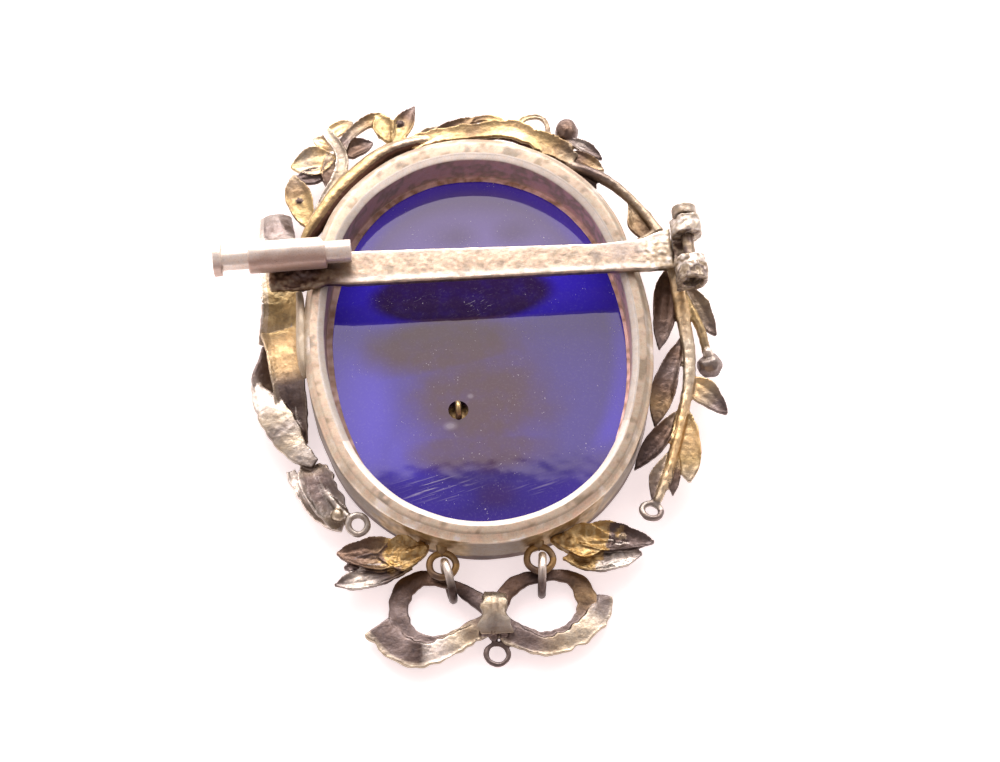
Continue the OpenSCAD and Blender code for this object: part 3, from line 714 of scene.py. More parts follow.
def blue_glass():
    n = material_nodes("cobalt_glass")
    place = n.parts(n.coords)
    sway = n.times(n.math("SUBTRACT", n.noise(3.5, offset=1), 0.5), 0.5)

    def past(axis, low, high):
        """From 0 at low to 1 at high, in millimetres along an axis"""
        middle = MIDDLE["XY".index(axis)]
        return n.ramp(place[axis], (low + middle) * MM, (high + middle) * MM)

    def spot(x, y, rx, ry, inner, outer, strength=1):
        """Oval patch that fades from inner to outer, by its half width and half height"""
        dx, dy = (
            n.times(n.math("SUBTRACT", place[axis], middle * MM), 1 / (half * MM))
            for axis, middle, half in (("X", x + MIDDLE[0], rx), ("Y", y + PATCH_LIFT + MIDDLE[1], ry))
        )
        r = n.math("SQRT", n.math("ADD", n.times(dx, dx), n.times(dy, dy)))
        return n.ramp(n.math("ADD", r, sway) if outer - inner > 0.3 else r, inner, outer, strength, 0)

    # The body's colour holds painted light and reflection: lilac toward the top for a brighter reflection,
    # deep blue in the band where the glass mirrors the bar and round the rim where it mirrors the inner
    # wall, and darker toward the right and the bottom
    deep = (0.043, 0.024, 0.52)
    body = n.mix(past("X", 2, 6), (0.034, 0.02, 0.38), (0.03, 0.018, 0.25))
    body = n.mix(past("Y", 7.5, 8.5), body, (0.125, 0.095, 0.36))
    body = n.mix(n.times(past("Y", 2.6, 3.4), past("Y", 7.6, 6.9)), body, deep)
    body = n.mix(past("Y", -9, -11.5), body, (0.03, 0.018, 0.19))
    edge = n.mix(past("Y", 7, 8.5), deep, (0.10, 0.06, 0.80))
    edge = n.mix(past("Y", -8, -11), edge, (0.035, 0.02, 0.24))
    body = n.mix(spot(0, OPENING_Y, 12.3, 16.3, 0.88, 1), edge, body)
    # Painted light passing through the glass
    body = n.mix(n.highest(*(spot(*row) for row in GLASS_PAINTED_GLOWS)), body, (0.06, 0.042, 0.56))
    wisps = n.ramp(n.noise(1.6, detail=4, offset=2), 0.2, 0.6, 0.82, 0.98)
    # Painted reflection: dark patches where the glass mirrors dark things
    dark_reflection = n.times(n.highest(*(spot(*row) for row in GLASS_DARK_REFLECTIONS)), wisps)
    reflection_tint = n.mix(past("Y", 2.8, 3.6), (0.05, 0.016, 0.034), (0.032, 0.014, 0.07))
    body = n.mix(dark_reflection, body, reflection_tint)

    where = n.noise(2.4, detail=2, offset=4)
    dust = n.ramp(n.noise(0.13, detail=1, roughness=0.5, offset=11), 0.73, 0.78)
    dust = n.times(dust, n.ramp(where, 0.5, 0.62))
    wavy = n.noise(0.16, stretch=(0.16, 1, 1), turn=24, distortion=1.4, offset=6)
    under_bar = n.times(spot(-1, 4.8, 8.5, 2.2, 0.4, 1), n.ramp(where, 0.4, 0.6))
    scuffs = n.times(n.ramp(wavy, 0.6, 0.76), n.times(under_bar, 0.5))
    streaks = n.noise(0.2, roughness=0.55, stretch=(0.05, 1, 1), turn=14, distortion=0.4, offset=16)
    near_foot = n.highest(spot(-4.6, -12.4, 4.4, 1.7, 0.3, 1), spot(4, -12.8, 3, 1.2, 0.2, 1, 0.5))
    haze = n.times(n.ramp(streaks, 0.53, 0.68), n.times(near_foot, 0.32))
    film = n.times(n.ramp(n.noise(0.22, detail=4, roughness=0.7, offset=13), 0.5, 0.75), 0.06)
    chips = n.highest(spot(-2.9, -6.9, 0.75, 0.5, 0.3, 1.1, 0.3), spot(-1, -4.3, 0.35, 0.3, 0.3, 1, 0.25))
    pale = n.highest(dust, haze, scuffs, film, chips)
    # Painted reflection: no sheen in the band under the bar, where the glass mirrors the bar's dark
    # underside
    painted_bar_reflection = n.times(past("Y", 4.9, 5.6), past("Y", 8, 7.7))
    waves = n.bump(n.noise(4, detail=2, offset=8), 0.012)
    return n.finish(
        Base_Color=n.mix(pale, body, (0.55, 0.52, 0.62)), IOR=1.54,
        Roughness=n.ramp(pale, 0, 0.5, 0.035, 0.5), Specular_IOR_Level=n.math("SUBTRACT", 1, painted_bar_reflection),
        Normal=n.bump(streaks, 0.001, 0.2, below=waves))


def paper():
    n = material_nodes("pale_paper")
    tint = n.ramp(n.noise(60, detail=2), 0.3, 0.7)
    return n.finish(
        Base_Color=n.mix(tint, (0.90, 0.875, 0.855), (0.88, 0.85, 0.85)), Roughness=0.9,
        Specular_IOR_Level=0.2, Emission_Color=(1, 0.88, 0.89), Emission_Strength=0.65,
        Normal=n.bump(n.noise(0.35, detail=4), 0.02, 0.5))


# Stage

# Light of the room by how much a direction leans toward a window low in the north: -1 away from it, 1 at it
ROOM_LIGHT = table("""
lean red green blue
-1 0.34 0.265 0.255
-0.3 0.42 0.325 0.31
0 0.52 0.42 0.395
0.4 0.74 0.65 0.615
0.6 0.96 0.84 0.80
0.8 1.30 1.11 1.08
0.875 1.62 1.36 1.34
0.93 2.4 2.08 2.04
1 3.5 3.2 3.1
""")
WINDOW = (0, 0.82, 0.57)
# The dark ceiling: how high a direction rises where it starts and is full, its ragged edge and its colour
CEILING_START, CEILING_FULL = 0.9186, 0.9198
CEILING_RAGGED, RAGGED_SIZE = 0.006, 1 / 30
CEILING_COLOUR = (0.24, 0.195, 0.20)
FLOOR_HALF = 2.5
KEY_PLACE, KEY_SIZE = (0.05, 0.55, 0.36), (1, 0.33)
KEY_POWER, KEY_COLOUR = 3.8, (1, 0.97, 0.95)


def build_floor():
    r = FLOOR_HALF
    floor = from_points("floor", [(-r, -r, 0), (r, -r, 0), (r, r, 0), (-r, r, 0)], [(0, 1, 2, 3)])
    floor.data.materials.append(paper())


def build_room():
    """Light by direction, with a dark ceiling that the glass mirrors near its foot"""
    n = Nodes(bpy.data.worlds.new("studio"), "OutputWorld", "Background", "Generated")
    lean = n.add("VectorMath")
    lean.operation = "DOT_PRODUCT"
    n.put(WINDOW, lean.inputs[1])
    n.put(n.coords, lean.inputs[0])
    light = n.add("ValToRGB", Fac=n.ramp(lean.outputs["Value"], -1, 1, kind="LINEAR"))
    stops = light.color_ramp.elements
    while len(stops) < len(ROOM_LIGHT):
        stops.new(0.5)
    for stop, (toward, *colour) in zip(stops, ROOM_LIGHT):
        stop.position = (toward + 1) / 2
        stop.color = (*colour, 1)
    ragged = n.noise(RAGGED_SIZE / MM, roughness=0.5)
    height = n.math("ADD", n.times(ragged, CEILING_RAGGED), n.parts(n.coords)["Z"])
    ceiling = n.ramp(height, CEILING_START, CEILING_FULL, kind="LINEAR")
    scene.world = n.finish(Color=n.mix(ceiling, light.outputs[0], CEILING_COLOUR))


def build_light():
    light = bpy.data.lights.new("key", "AREA")
    light.shape = "RECTANGLE"
    light.size, light.size_y = KEY_SIZE
    light.energy, light.color = KEY_POWER, KEY_COLOUR
    key = placed("key", light)
    key.location = KEY_PLACE
    key.rotation_euler = Vector(KEY_PLACE).to_track_quat("Z", "Y").to_euler()
    scene.view_settings.view_transform = "Standard"
    scene.view_settings.look = "None"


# The wreath and the bow

RIBBON_UPPER = table("""
x y z width cup
-16.7 14.9 1.5 2.8 -0.5
-16.6 13 2.3 3.1 -0.5
-16.5 10.6 2.6 3.3 -0.1
-16.4 7.6 2.5 3.4 0.35
-16.3 4.8 2.4 3.5 0.5
-16.5 3 1.9 3.7 0.4
-16.8 1.8 1.2 3.6 0.2
""")
RIBBON_MIDDLE = table("""
x y z width cup roll
-16.7 3 2.1 3.2 0.4 0
-16.35 0.8 2.4 2.95 0.5 0
-16.1 -1.6 2.4 2.8 0.5 3
-15.9 -3.7 2 2.6 0.4 5
-15.75 -5.6 1.6 2.2 0.3 8
-15.4 -7.4 1.3 1.3 0.1 10
""")
RIBBON_FLAP = table("""
x y z width cup roll
-17.9 1.9 1.6 0.6 0 -10
-18 0.4 1.5 1.3 0 -20
-18.2 -1.2 1.4 2 0 -25
-18 -2.6 1.3 1.8 0 -25
""")
RIBBON_TURN = table("""
x y z width cup
-19 -1.5 1.5 0.7 -0.1
-18.4 -2.8 2 1.8 -0.2
-17.6 -4.4 2.35 2.5 -0.2
-16.8 -6.1 2.4 2.7 -0.2
-15.95 -7.7 2.35 2.3 -0.2
-15.1 -8.75 2.3 1.7 -0.1
-14.2 -9.5 2.2 1 0
""")
RIBBON_LOWER = table("""
x y z width cup
-14.55 -9.3 1.5 1.6 0.1
-14.4 -10.3 1.9 2.6 0.4
-13.9 -12 2 2.8 0.5
-13 -13.7 1.8 2.5 0.4
-12.5 -15 1.4 1.4 0.2
""")
RIBBON_BORDER = table("""
x y z width cup
-16.3 -9.6 1.2 0.7 0.1
-15.85 -11 1.3 0.95 0.1
-15.15 -12.35 1.3 0.95 0.1
-14.35 -13.6 1.3 0.95 0.1
-13.3 -14.6 1.3 0.9 0.1
-12.3 -15.05 1.4 0.7 0
""")
RIBBON_ROD = table("""
x y z radius
-16.9 13.2 1.6 0.35
-15.9 9 1.7 0.4
-15.6 4 1.7 0.4
-15.6 -1.9 1.6 0.38
-15.5 -5.2 1.4 0.36
-15.2 -7.8 1.2 0.34
-14.5 -9.9 1.4 0.34
-13.2 -12.5 1.8 0.36
-12 -14.1 2 0.32
-11.5 -14.6 2.2 0.3
""")
RIBBON_LUG = [(-15.6, 4, 1.7, 0.4), (-14.2, 4, 1.7, 0.4)]
RIBBON_BEAD, RIBBON_BEAD_R = (-12.6, -14.2, 2), 0.55
RIBBON_RING = (-11, -15.3, 2.3)
# Radius and wire of the wreath's two end rings
END_RING_R, END_RING_WIRE = 0.78, 0.27

TOP_STEM = table("""
x y z radius
-14.2 11.1 2.6 0.5
-12.8 13 2.8 0.85
-11 15.4 2.9 0.92
-9 17.4 2.9 0.92
-6.9 19.1 2.9 0.88
-4.6 20 2.85 0.75
-1.8 20.4 2.7 0.5
1.8 20.6 2.6 0.4
4.3 20.4 2.6 0.42
6.8 18.9 2.6 0.45
8.5 17.5 2.6 0.45
9.8 16.6 2.8 0.5
11.1 15.9 2.9 0.52
12.4 15 2.9 0.5
13.6 13.8 2.9 0.46
14.75 12.2 3 0.42
15.7 10.5 3.2 0.42
16.3 9 3.6 0.5
""")
BERRY_NECK = [(9.4, 19.9, 1.9, 0.5), (9.4, 18.9, 2.3, 0.5), (9.2, 17.9, 2.55, 0.5)]
# The second and seventh leaves are tinted dark as painted shade: one fills the shaded underside below
# another leaf, the other lies under the scroll
TOP_LEAVES = table("""
x y z heading length breadth pitch cup fullness tones
-13.7 12.6 2.6 102 5.6 2.4 0 0.4 0.95 gold gold bronze tan
-15.3 17.6 2.5 9 3.8 1.5 0 0.1 1.2 mauve dark mauve
-11.4 15.2 2.6 93 5 1.5 0 0.3 1 mauve brown tan
-10.9 19.6 2.6 187 4.2 2.9 -4 0.35 1.1 gold sun cream gold
-10.8 20.6 2.4 150 2.6 1.5 -6 0.2 1 cream sun cream
-11.9 21.7 2.5 32 3 1.5 -2 0.2 1 cream sun tan
-10.4 19.9 2.5 20 2.9 1.9 0 0.4 0.8 brown brown mauve
-6.2 20.6 2.8 108 3.2 1.9 -2 0.4 0.9 gold gold gold
-5.8 20.2 2.9 64 4.7 1.8 -5 0.4 0.8 gold gold brown mauve
-4.2 20.3 2.9 32 3 1.1 -2 0.2 1 tan tan
-2.9 20.1 2.9 30 5 1.7 -2 0.3 0.9 brown brown bronze
9.5 19.8 2.5 -38 3.6 1.2 -2 0.3 1 mauve grey mauve dark
9.5 18.45 2.7 -37 3.6 1.4 -2 0.3 1 dark brown bronze tan
9.6 17 2.7 -52 3.1 1.6 -4 0.2 1.1 mauve dark
14.2 12.9 2.9 -74 4.6 2.2 0 0.4 1.1 tan bronze brown
""")
OUTER_SCROLL = table("""
x y z width cup
-13.4 12.6 3.2 0.6 0.1
-12.7 13.8 3.3 0.9 0.1
-11.8 15.45 3.4 1 0.2
-10.95 17 3.2 1.1 0.2
-10.5 18.7 3 1.1 0.2
-10.7 20.1 2.9 1 0.2
-11.3 21.35 2.8 1 0.2
-11.8 22.3 2.7 0.8 0.1
""")
INNER_SCROLL = table("""
x y z width cup
-10.6 19.6 2.8 0.9 0.1
-10.25 20.8 2.7 1 0.2
-9.6 21.75 2.7 1 0.2
-8.8 22.5 2.6 1.1 0.2
-8 23 2.6 1.3 0.2
-7.2 23 2.6 1.7 0.2
-6.7 22.3 2.65 1.7 0.2
-6.5 21.3 2.75 1.4 0.1
""")
FIRST_ARCH = table("""
x y z width cup
-0.3 21.3 2.7 0.7 0.1
0.9 22.2 2.6 0.6 0.1
2.1 22.6 2.5 0.6 0.1
3 22.4 2.5 0.9 0.1
3.6 21.8 2.6 1.2 0.1
3.7 20.9 2.8 1.2 0.1
""")
SECOND_ARCH = table("""
x y z width cup
5.3 20.8 2.8 0.6 0.1
5.5 21.9 2.6 0.5 0.1
6.3 22.4 2.5 0.45 0.1
7.2 22.3 2.5 0.4 0.1
7.75 21.5 2.6 0.4 0.1
7.8 19.4 2.8 0.6 0.1
""")
GOLD_BAND = table("""
x y z width cup
-4.3 20.1 3.2 1.5 0.1
-1.9 20.6 3.35 1.4 0.1
0.1 20.65 3.5 1.5 0.1
1.8 20.7 3.55 1.5 0.1
3.5 20.75 3.55 1.7 0.1
5 20.4 3.55 1.8 0.2
6.3 19.65 3.5 1.7 0.2
7.6 18.85 3.4 2.2 0.2
8.8 17.95 3.3 1.8 0.2
9.8 17.2 3.1 1.5 0.1
""")
# Columns: x, y, z, radius
TOP_LUGS = [
    [(-14.2, 11.1, 2.6, 0.4), (-12, 10.2, 2.4, 0.4)], [(16.2, 9.2, 3.5, 0.4), (13, 7.6, 3, 0.4)],
]
UPPER_BERRY, UPPER_BERRY_R = (9.45, 20.75, 1.9), 1.1
LEAF_DOTS = [(-14.4, 15.3, 2.5, 0.28), (-5.2, 22.4, 2.6, 0.35)]

RIGHT_STEM = table("""
x y z radius
17 5.6 3.9 0.52
17.2 4 3.7 0.56
17.35 2 3.3 0.6
17.45 -0.2 3 0.6
17.5 -2.5 2.9 0.56
17.1 -5.3 2.9 0.52
16.4 -7.7 2.9 0.48
15.6 -10.2 2.8 0.45
14.8 -12.4 2.6 0.42
13.95 -14.3 2.5 0.38
13.45 -15.3 2.4 0.34
""")
BERRY_STEM = table("""
x y z radius
17.4 3.6 3.1 0.42
18.15 1.7 3 0.42
18.8 -0.2 2.8 0.4
19.1 -2.2 2.4 0.38
""")
RIGHT_LEAVES = table("""
x y z heading length breadth pitch cup fullness tones
16.6 5.9 2.9 -101 7.6 2.2 -3 0.4 0.9 brown brown mauve
17.2 -0.6 2.9 -112 8.6 2.1 -3 0.45 1.25 mauve brown mauve brown bronze dark
16.4 -7.3 2.8 -132 6.8 1.75 -3 0.4 1.05 tan brown dark dark
14.7 -11.2 2.7 -112 4.4 1.8 -4 0.3 1.05 tan mauve
17.6 4.7 3.2 -64 5.9 2.1 -9 0.35 1.1 mauve tan mauve
17 -4.6 2.9 -47 4.6 2.2 -6 0.35 0.9 gold sun tan mauve mauve
16.5 -6.4 2.8 -92 7.4 2.5 -3 0.4 1.3 tan gold sun gold cream
15.55 -11.1 2.75 -102 3.9 1.05 -3 0.2 1.1 gold brown mauve
""")
RIGHT_LUG = [(17, 5.6, 3.7, 0.4), (14, 6.2, 3, 0.4)]
RIGHT_BERRY, RIGHT_BERRY_R = (19.3, -3.1, 1.75), 1.05
RIGHT_BEAD, RIGHT_BEAD_R = (19.2, -2.25, 2.6), 0.42
RIGHT_RING = (12.85, -16.1, 2.4)

LEFT_SPRAY = table("""
x y z heading length breadth pitch cup fullness tones
-5.6 -18.1 2.3 179 4 2.9 -3 0.4 1 brown brown
-6.2 -18.2 2.2 172 6.8 2.8 -5 0.5 1.1 brown bronze brown brown
-6.8 -18.9 2 177 5.6 1.9 -5 0.3 1 dark dark mauve
-6.9 -19.2 2 187 6.4 1.9 -5 0.3 1.1 bronze mauve silver mauve
""")
LEFT_SPRAY_BASE = table("""
x y z radius
-5.7 -17.5 1.9 0.6
-6.2 -17.8 1.9 0.65
-6.7 -18.1 1.8 0.7
-7.2 -18.3 1.8 0.7
-7.7 -18.5 1.7 0.65
-8.2 -18.6 1.7 0.6
-8.7 -18.7 1.7 0.5
-9.2 -18.8 1.7 0.4
-9.7 -18.9 1.6 0.35
""")
RIGHT_SPRAY = table("""
x y z heading length breadth pitch cup fullness tones
4.8 -18 2.3 -4 4.8 2.8 -3 0.4 1 brown dark
5.4 -17.7 2.2 -6 7.5 2.5 -4 0.5 1.05 mauve mauve dark mauve
5.3 -19.4 2 1 6.5 2.7 -4 0.45 1.05 brown tan grey silver mauve
""")
RIGHT_SPRAY_BASE = table("""
x y z radius
4.8 -17.6 1.9 0.55
5.2 -17.9 1.9 0.65
5.6 -18.1 1.8 0.7
6 -18.3 1.8 0.7
6.5 -18.4 1.7 0.65
7 -18.5 1.7 0.6
7.5 -18.5 1.7 0.5
8 -18.5 1.7 0.4
8.5 -18.5 1.6 0.35
""")
SPRAY_DOT, SPRAY_DOT_R = (10.3, -17.9, 1.75), 0.28
# How far to the side of the middle the gold solder runs over each spray, at the top leaf and per mm below it
SPRAY_GILT = {"left_spray": (8.9, 0.5), "right_spray": (9.7, 0.9)}

JUMP_RING_R, JUMP_RING_WIRE = 1.6, 0.33
# Each jump ring's centre, its tilt and the tones round it, which paint a highlight on one side of the ring
# and shade on the rest
JUMP_RINGS = {
    "jump_ring_left": ((-4, -20.6, 1.95), (90, 0, -80), "dark dark white bright tan brown dark dark"),
    "jump_ring_right": ((3.5, -20.75, 1.95), (90, 0, -96), "dark mauve bright bright grey brown dark dark"),
}

LEFT_LOOP = table("""
x y z width cup
-0.9 -23 1.5 1.5 -0.1
-1.7 -22.2 1.4 1.6 -0.1
-2.6 -21.5 1.35 1.4 -0.1
-3.4 -20.8 1.4 1 0
-4.1 -20.6 1.4 0.95 0
-5.2 -20.1 1.25 1.2 0
-6.4 -19.8 0.95 1.6 -0.1
-7.6 -20.5 0.85 2 -0.15
-8.2 -22 0.85 1.9 -0.15
-8.1 -23.6 0.9 1.9 -0.1
-7 -25 0.92 1.7 0
-5.2 -25.5 0.95 1.7 0
-3.6 -25.1 1.08 1.7 0
-2.3 -24.5 1.25 1.7 -0.1
-0.9 -23.9 1.5 1.4 -0.1
""")
RIGHT_LOOP = table("""
x y z width cup
-0.2 -23.1 1.5 1.5 -0.1
0.3 -22 1.4 1.6 -0.1
1 -21.2 1.35 1.7 -0.1
2.1 -20.7 1.35 1.4 0
3.5 -20.65 1.4 1.05 0
4.8 -20.5 1.25 1.2 0
6.2 -20.9 0.95 1.6 -0.1
6.9 -22.3 0.9 2 -0.1
6.8 -23.8 0.9 2 0
5.9 -25 0.9 1.8 0
4.5 -25.7 0.95 1.7 0
2.9 -25.8 1.05 1.7 0
1.3 -25.1 1.25 1.7 -0.1
0.1 -24.2 1.5 1.5 -0.1
""")
LEFT_TAIL = table("""
x y z width cup
-1.2 -24.6 1.35 1.3 0
-2.5 -25 1.3 1.4 0
-3.8 -25.6 1.25 1.6 0
-5.2 -26.15 1.2 1.8 0
-6.8 -26.3 1.15 2 0
-8.2 -25.8 1.1 2.1 0
-9.1 -24.75 1.05 2.2 -0.1
-9.95 -23.5 1 2.2 -0.1
""")
RIGHT_TAIL = table("""
x y z width cup
-0.1 -24.8 1.35 1.4 0
1.1 -25.6 1.3 1.6 0
2.3 -26.2 1.25 1.6 0
4 -26.4 1.2 1.6 0
5.6 -25.9 1.2 1.8 0
7 -24.85 1.15 1.9 0
8.1 -23.7 1.05 1.6 -0.1
8.45 -22.5 1 1 -0.1
""")
# Columns: x, y, z, radius
KNOT_FOLDS = [
    [(-0.8, -22, 1.4, 0.3), (-1.1, -22.8, 1.7, 0.4), (-1.3, -24.1, 1.8, 0.42), (-1.5, -25.2, 1.3, 0.4)],
    [
        (-0.35, -21.95, 1.45, 0.3), (-0.5, -22.8, 1.85, 0.45), (-0.7, -24.2, 1.95, 0.45),
        (-0.8, -25.6, 1.3, 0.4),
    ],
    [(0.05, -22.05, 1.4, 0.3), (0, -22.8, 1.7, 0.4), (-0.1, -24.2, 1.8, 0.42), (0.1, -25.4, 1.3, 0.4)],
]
KNOT_BAND = table("""
x y z width cup
-0.35 -21.75 1.9 1.7 -0.1
-0.45 -22.4 2.4 2 -0.2
-0.55 -23.3 2.6 2.2 -0.25
-0.6 -24.4 2.55 2.35 -0.25
-0.65 -25.4 2 2.6 -0.2
""")
BOW_RING = (-0.6, -26.75, 1)
BOW_RING_R, BOW_RING_WIRE = 0.88, 0.21
BAND_SHEET = 0.5
# How wide the loops' strips are by their tables
LOOP_WIDTH = 0.86


def narrowed(rows):
    return [(*row[:3], row[3] * LOOP_WIDTH, *row[4:]) for row in rows]


# Pieces

def build_left_ribbon(metal, cutters):
    s = Shell()
    strip(s, RIBBON_UPPER, "grey mauve grey tan gold gold cream", rim=0.05,
          seed=2, edge="white", lit=(1, 0))
    strip(s, RIBBON_MIDDLE, "gold sun sun mauve dark mauve brown", rim=0.05, seed=3,
          edge="cream", lit=(0.6, 0.2))
    strip(s, RIBBON_FLAP, "mauve mauve grey", seed=4)
    strip(s, RIBBON_TURN, "silver white silver cream grey cream silver grey", ragged=0.15, rim=0.05, seed=5)
    strip(s, RIBBON_LOWER, "tan mauve mauve grey tan", rim=0.05, seed=6,
          ragged=0.2, edge="silver", lit=(0.6, 0.2))
    strip(s, RIBBON_BORDER, "silver bright white bright silver", rim=0.06, ragged=0.3, seed=7)
    tube(s, RIBBON_ROD, "tan tan silver mauve silver", seed=7)
    tube(s, RIBBON_LUG, "tan", seed=8)
    ball(s, RIBBON_BEAD, RIBBON_BEAD_R, "cream", seed=9)
    ring(s, RIBBON_RING, END_RING_R, END_RING_WIRE, (15, 0, 0), "silver", seed=9)
    finish_cast(s, metal, "left_ribbon", cutters=cutters)


def build_top_branch(metal, cutters):
    s = Shell()
    tube(s, TOP_STEM, "gold gold gold cream gold tan tan mauve tan tan", seed=11, shade="rust", ridge=0.05)
    tube(s, BERRY_NECK, "mauve gold", seed=10)
    for k, rows in enumerate(TOP_LUGS):
        tube(s, rows, "tan", seed=12 + k)
    for k, (row, names) in enumerate(TOP_LEAVES):
        leaf(s, row, names, seed=20 + k)
    strip(s, OUTER_SCROLL, "tan tan beige tan beige beige cream", rim=0.04,
          seed=14, edge="white", lit=(0, 1))
    strip(s, INNER_SCROLL, "tan mauve tan bronze gold bronze", rim=0.04, seed=15)
    strip(s, FIRST_ARCH, "brown brown bronze gold gold", seed=16)
    strip(s, SECOND_ARCH, "gold tan brown", seed=17)
    strip(s, GOLD_BAND, "gold sun gold bronze gold sun gold bronze tan", seed=18, ragged=0.3, rim=0.03)
    ball(s, UPPER_BERRY, UPPER_BERRY_R, "dark dark mauve brown", seed=19, squash=(0.95, 1.12, 1), rough=0.16)
    for k, (x, y, z, r) in enumerate(LEAF_DOTS):
        ball(s, (x, y, z), r, "dark", seed=18 + k)
    finish_cast(s, metal, "top_branch", cutters=cutters)


def build_right_branch(metal, cutters):
    s = Shell()
    tube(s, RIGHT_STEM, "cream sun cream cream sun sun cream", seed=41, ridge=0.08, rough=0.1)
    tube(s, BERRY_STEM, "gold gold tan", seed=42)
    tube(s, RIGHT_LUG, "tan", seed=43)
    for k, (row, names) in enumerate(RIGHT_LEAVES):
        leaf(s, row, names, seed=50 + k)
    ball(s, RIGHT_BERRY, RIGHT_BERRY_R, "dark dark mauve grey", seed=44, rough=0.16)
    ball(s, RIGHT_BEAD, RIGHT_BEAD_R, "cream white", seed=46, rough=0.2)
    ring(s, RIGHT_RING, END_RING_R, END_RING_WIRE, (-15, 10, 0), "silver mauve", seed=45)
    finish_cast(s, metal, "right_branch", cutters=cutters)


def gild(shell, reach, seed):
    """Gold solder over the points nearer to the middle than reach, which shrinks downward"""
    for i, p in enumerate(shell.points):
        limit = reach[0] + reach[1] * min(p[1] + 18, 0) + 1.6 * wander(p, 1, seed)
        gold = tone_at("ochre gold ochre gold", 0.4 + 1.2 * wander(p, 0.8, seed + 1))
        shell.tints[i] = blend(shell.tints[i], gold, clamp((limit - abs(p[0])) / 0.5 + 0.5))


def build_sprays(metal, cutters):
    for name, leaves, base in (
        ("left_spray", LEFT_SPRAY, LEFT_SPRAY_BASE), ("right_spray", RIGHT_SPRAY, RIGHT_SPRAY_BASE),
    ):
        s = Shell()
        for k, (row, names) in enumerate(leaves):
            leaf(s, row, names, seed=60 + k)
        tube(s, base, "gold", rough=0.3, seed=65)
        gild(s, SPRAY_GILT[name], 67)
        if name == "right_spray":
            ball(s, SPRAY_DOT, SPRAY_DOT_R, "tan", seed=66)
        finish_cast(s, metal, name, voxel=0.07, cutters=cutters, grain=((0.08, 0.7, 1), (0.03, 0.25, 2)))


def build_bow(metal):
    s = Shell()
    strip(s, narrowed(LEFT_LOOP), "mauve dark brown brown mauve mauve mauve tan mauve",
          BOW_SHEET, ragged=0.2, seed=71)
    strip(s, narrowed(RIGHT_LOOP), "brown brown dark brown bronze mauve mauve mauve dark",
          BOW_SHEET, ragged=0.2, seed=72)
    # On the tails, the cream and bright stretches are painted highlights and the dark stretch on the left
    # tail is painted shade of a fold
    strip(s, LEFT_TAIL, "tan tan cream bright dark mauve mauve mauve", BOW_SHEET,
          rim=0.08, ragged=0.35, seed=73, edge="cream", lit=(0, 1))
    strip(s, RIGHT_TAIL, "mauve mauve mauve tan cream cream grey mauve", BOW_SHEET,
          rim=0.08, ragged=0.35, seed=74, edge="cream", lit=(1, 0))
    for k, rows in enumerate(KNOT_FOLDS):
        tube(s, rows, "brown tan brown mauve", seed=75 + k)
    strip(s, KNOT_BAND, "tan cream tan beige silver tan", BAND_SHEET, ragged=0.3, rib=0.14,
          seed=79, edge="cream", lit=(0.5, 0.1))
    ring(s, BOW_RING, BOW_RING_R, BOW_RING_WIRE, (0, 0, 0), "mauve", seed=78)
    finish_cast(s, metal, "bow", voxel=0.08, grain=((0.08, 1.3, 1), (0.014, 0.3, 2)))


def build_jump_rings(metal):
    for k, (node, (centre, tilt, names)) in enumerate(JUMP_RINGS.items()):
        s = Shell()
        ring(s, centre, JUMP_RING_R, JUMP_RING_WIRE, tilt, names, seed=80 + k, steps=120, sides=24)
        finish_plain(s, metal, node)


# Corners of the bezel's cross section, by their distance outward from the opening and their height
BEZEL_PROFILE = table("""
outward z
-0.9 0.12
-0.78 0
1.35 0
1.8 0.3
1.8 4.05
1.2 4.6
0.5 4.65
0 4.27
0 1.65
-0.3 1.65
-0.3 1.45
0.1 1.45
0.1 0.55
-0.9 0.4
""")
# Radius of the profile's corners, the spacing of its points, and how many times it stands round the oval
CORNER, PROFILE_STEP = 0.14, 0.24
BEZEL_ROUND = 620
# How far outward the inner wall and the inner bevel reach
INNER_FACE, BEVEL_REACH = 0.15, 0.62
# Heights: top of the dark foot, underside and top of the ledge, and starts of shoulder, bevel and rim face
FOOT_TOP, LEDGE_LOW, LEDGE_HIGH = 1.3, 1, 1.68
SHOULDER, BEVEL_FOOT, RIM_FACE = 3.9, 4.2, 4.56
# Solder along the rim's left side
RIM_SOLDER = table("""
x y z radius
-14.75 5.6 3.7 0.3
-14.7 3.6 3.95 0.4
-14.75 1.2 3.95 0.42
-14.75 -1 3.9 0.4
-14.6 -2.3 3.7 0.22
""")


def rounded(profile, radius, steps=4):
    """Closed profile with its corners cut round"""
    n = len(profile)
    out = []
    for i in range(n):
        a, b, c = (np.array(profile[(i + k) % n], float) for k in (-1, 0, 1))
        r = min(radius, 0.45 * np.linalg.norm(a - b), 0.45 * np.linalg.norm(c - b))
        p = b + unit(a - b) * r
        q = b + unit(c - b) * r
        for k in range(steps + 1):
            t = k / steps
            out.append((1 - t) ** 2 * p + 2 * t * (1 - t) * b + t * t * q)
    return out


def spaced(loop, step):
    """Closed loop of points with no two further apart than step"""
    out = []
    n = len(loop)
    for i in range(n):
        a, b = loop[i], loop[(i + 1) % n]
        count = max(1, int(math.ceil(np.linalg.norm(b - a) / step)))
        out.extend(a + (b - a) * k / count for k in range(count))
    return out


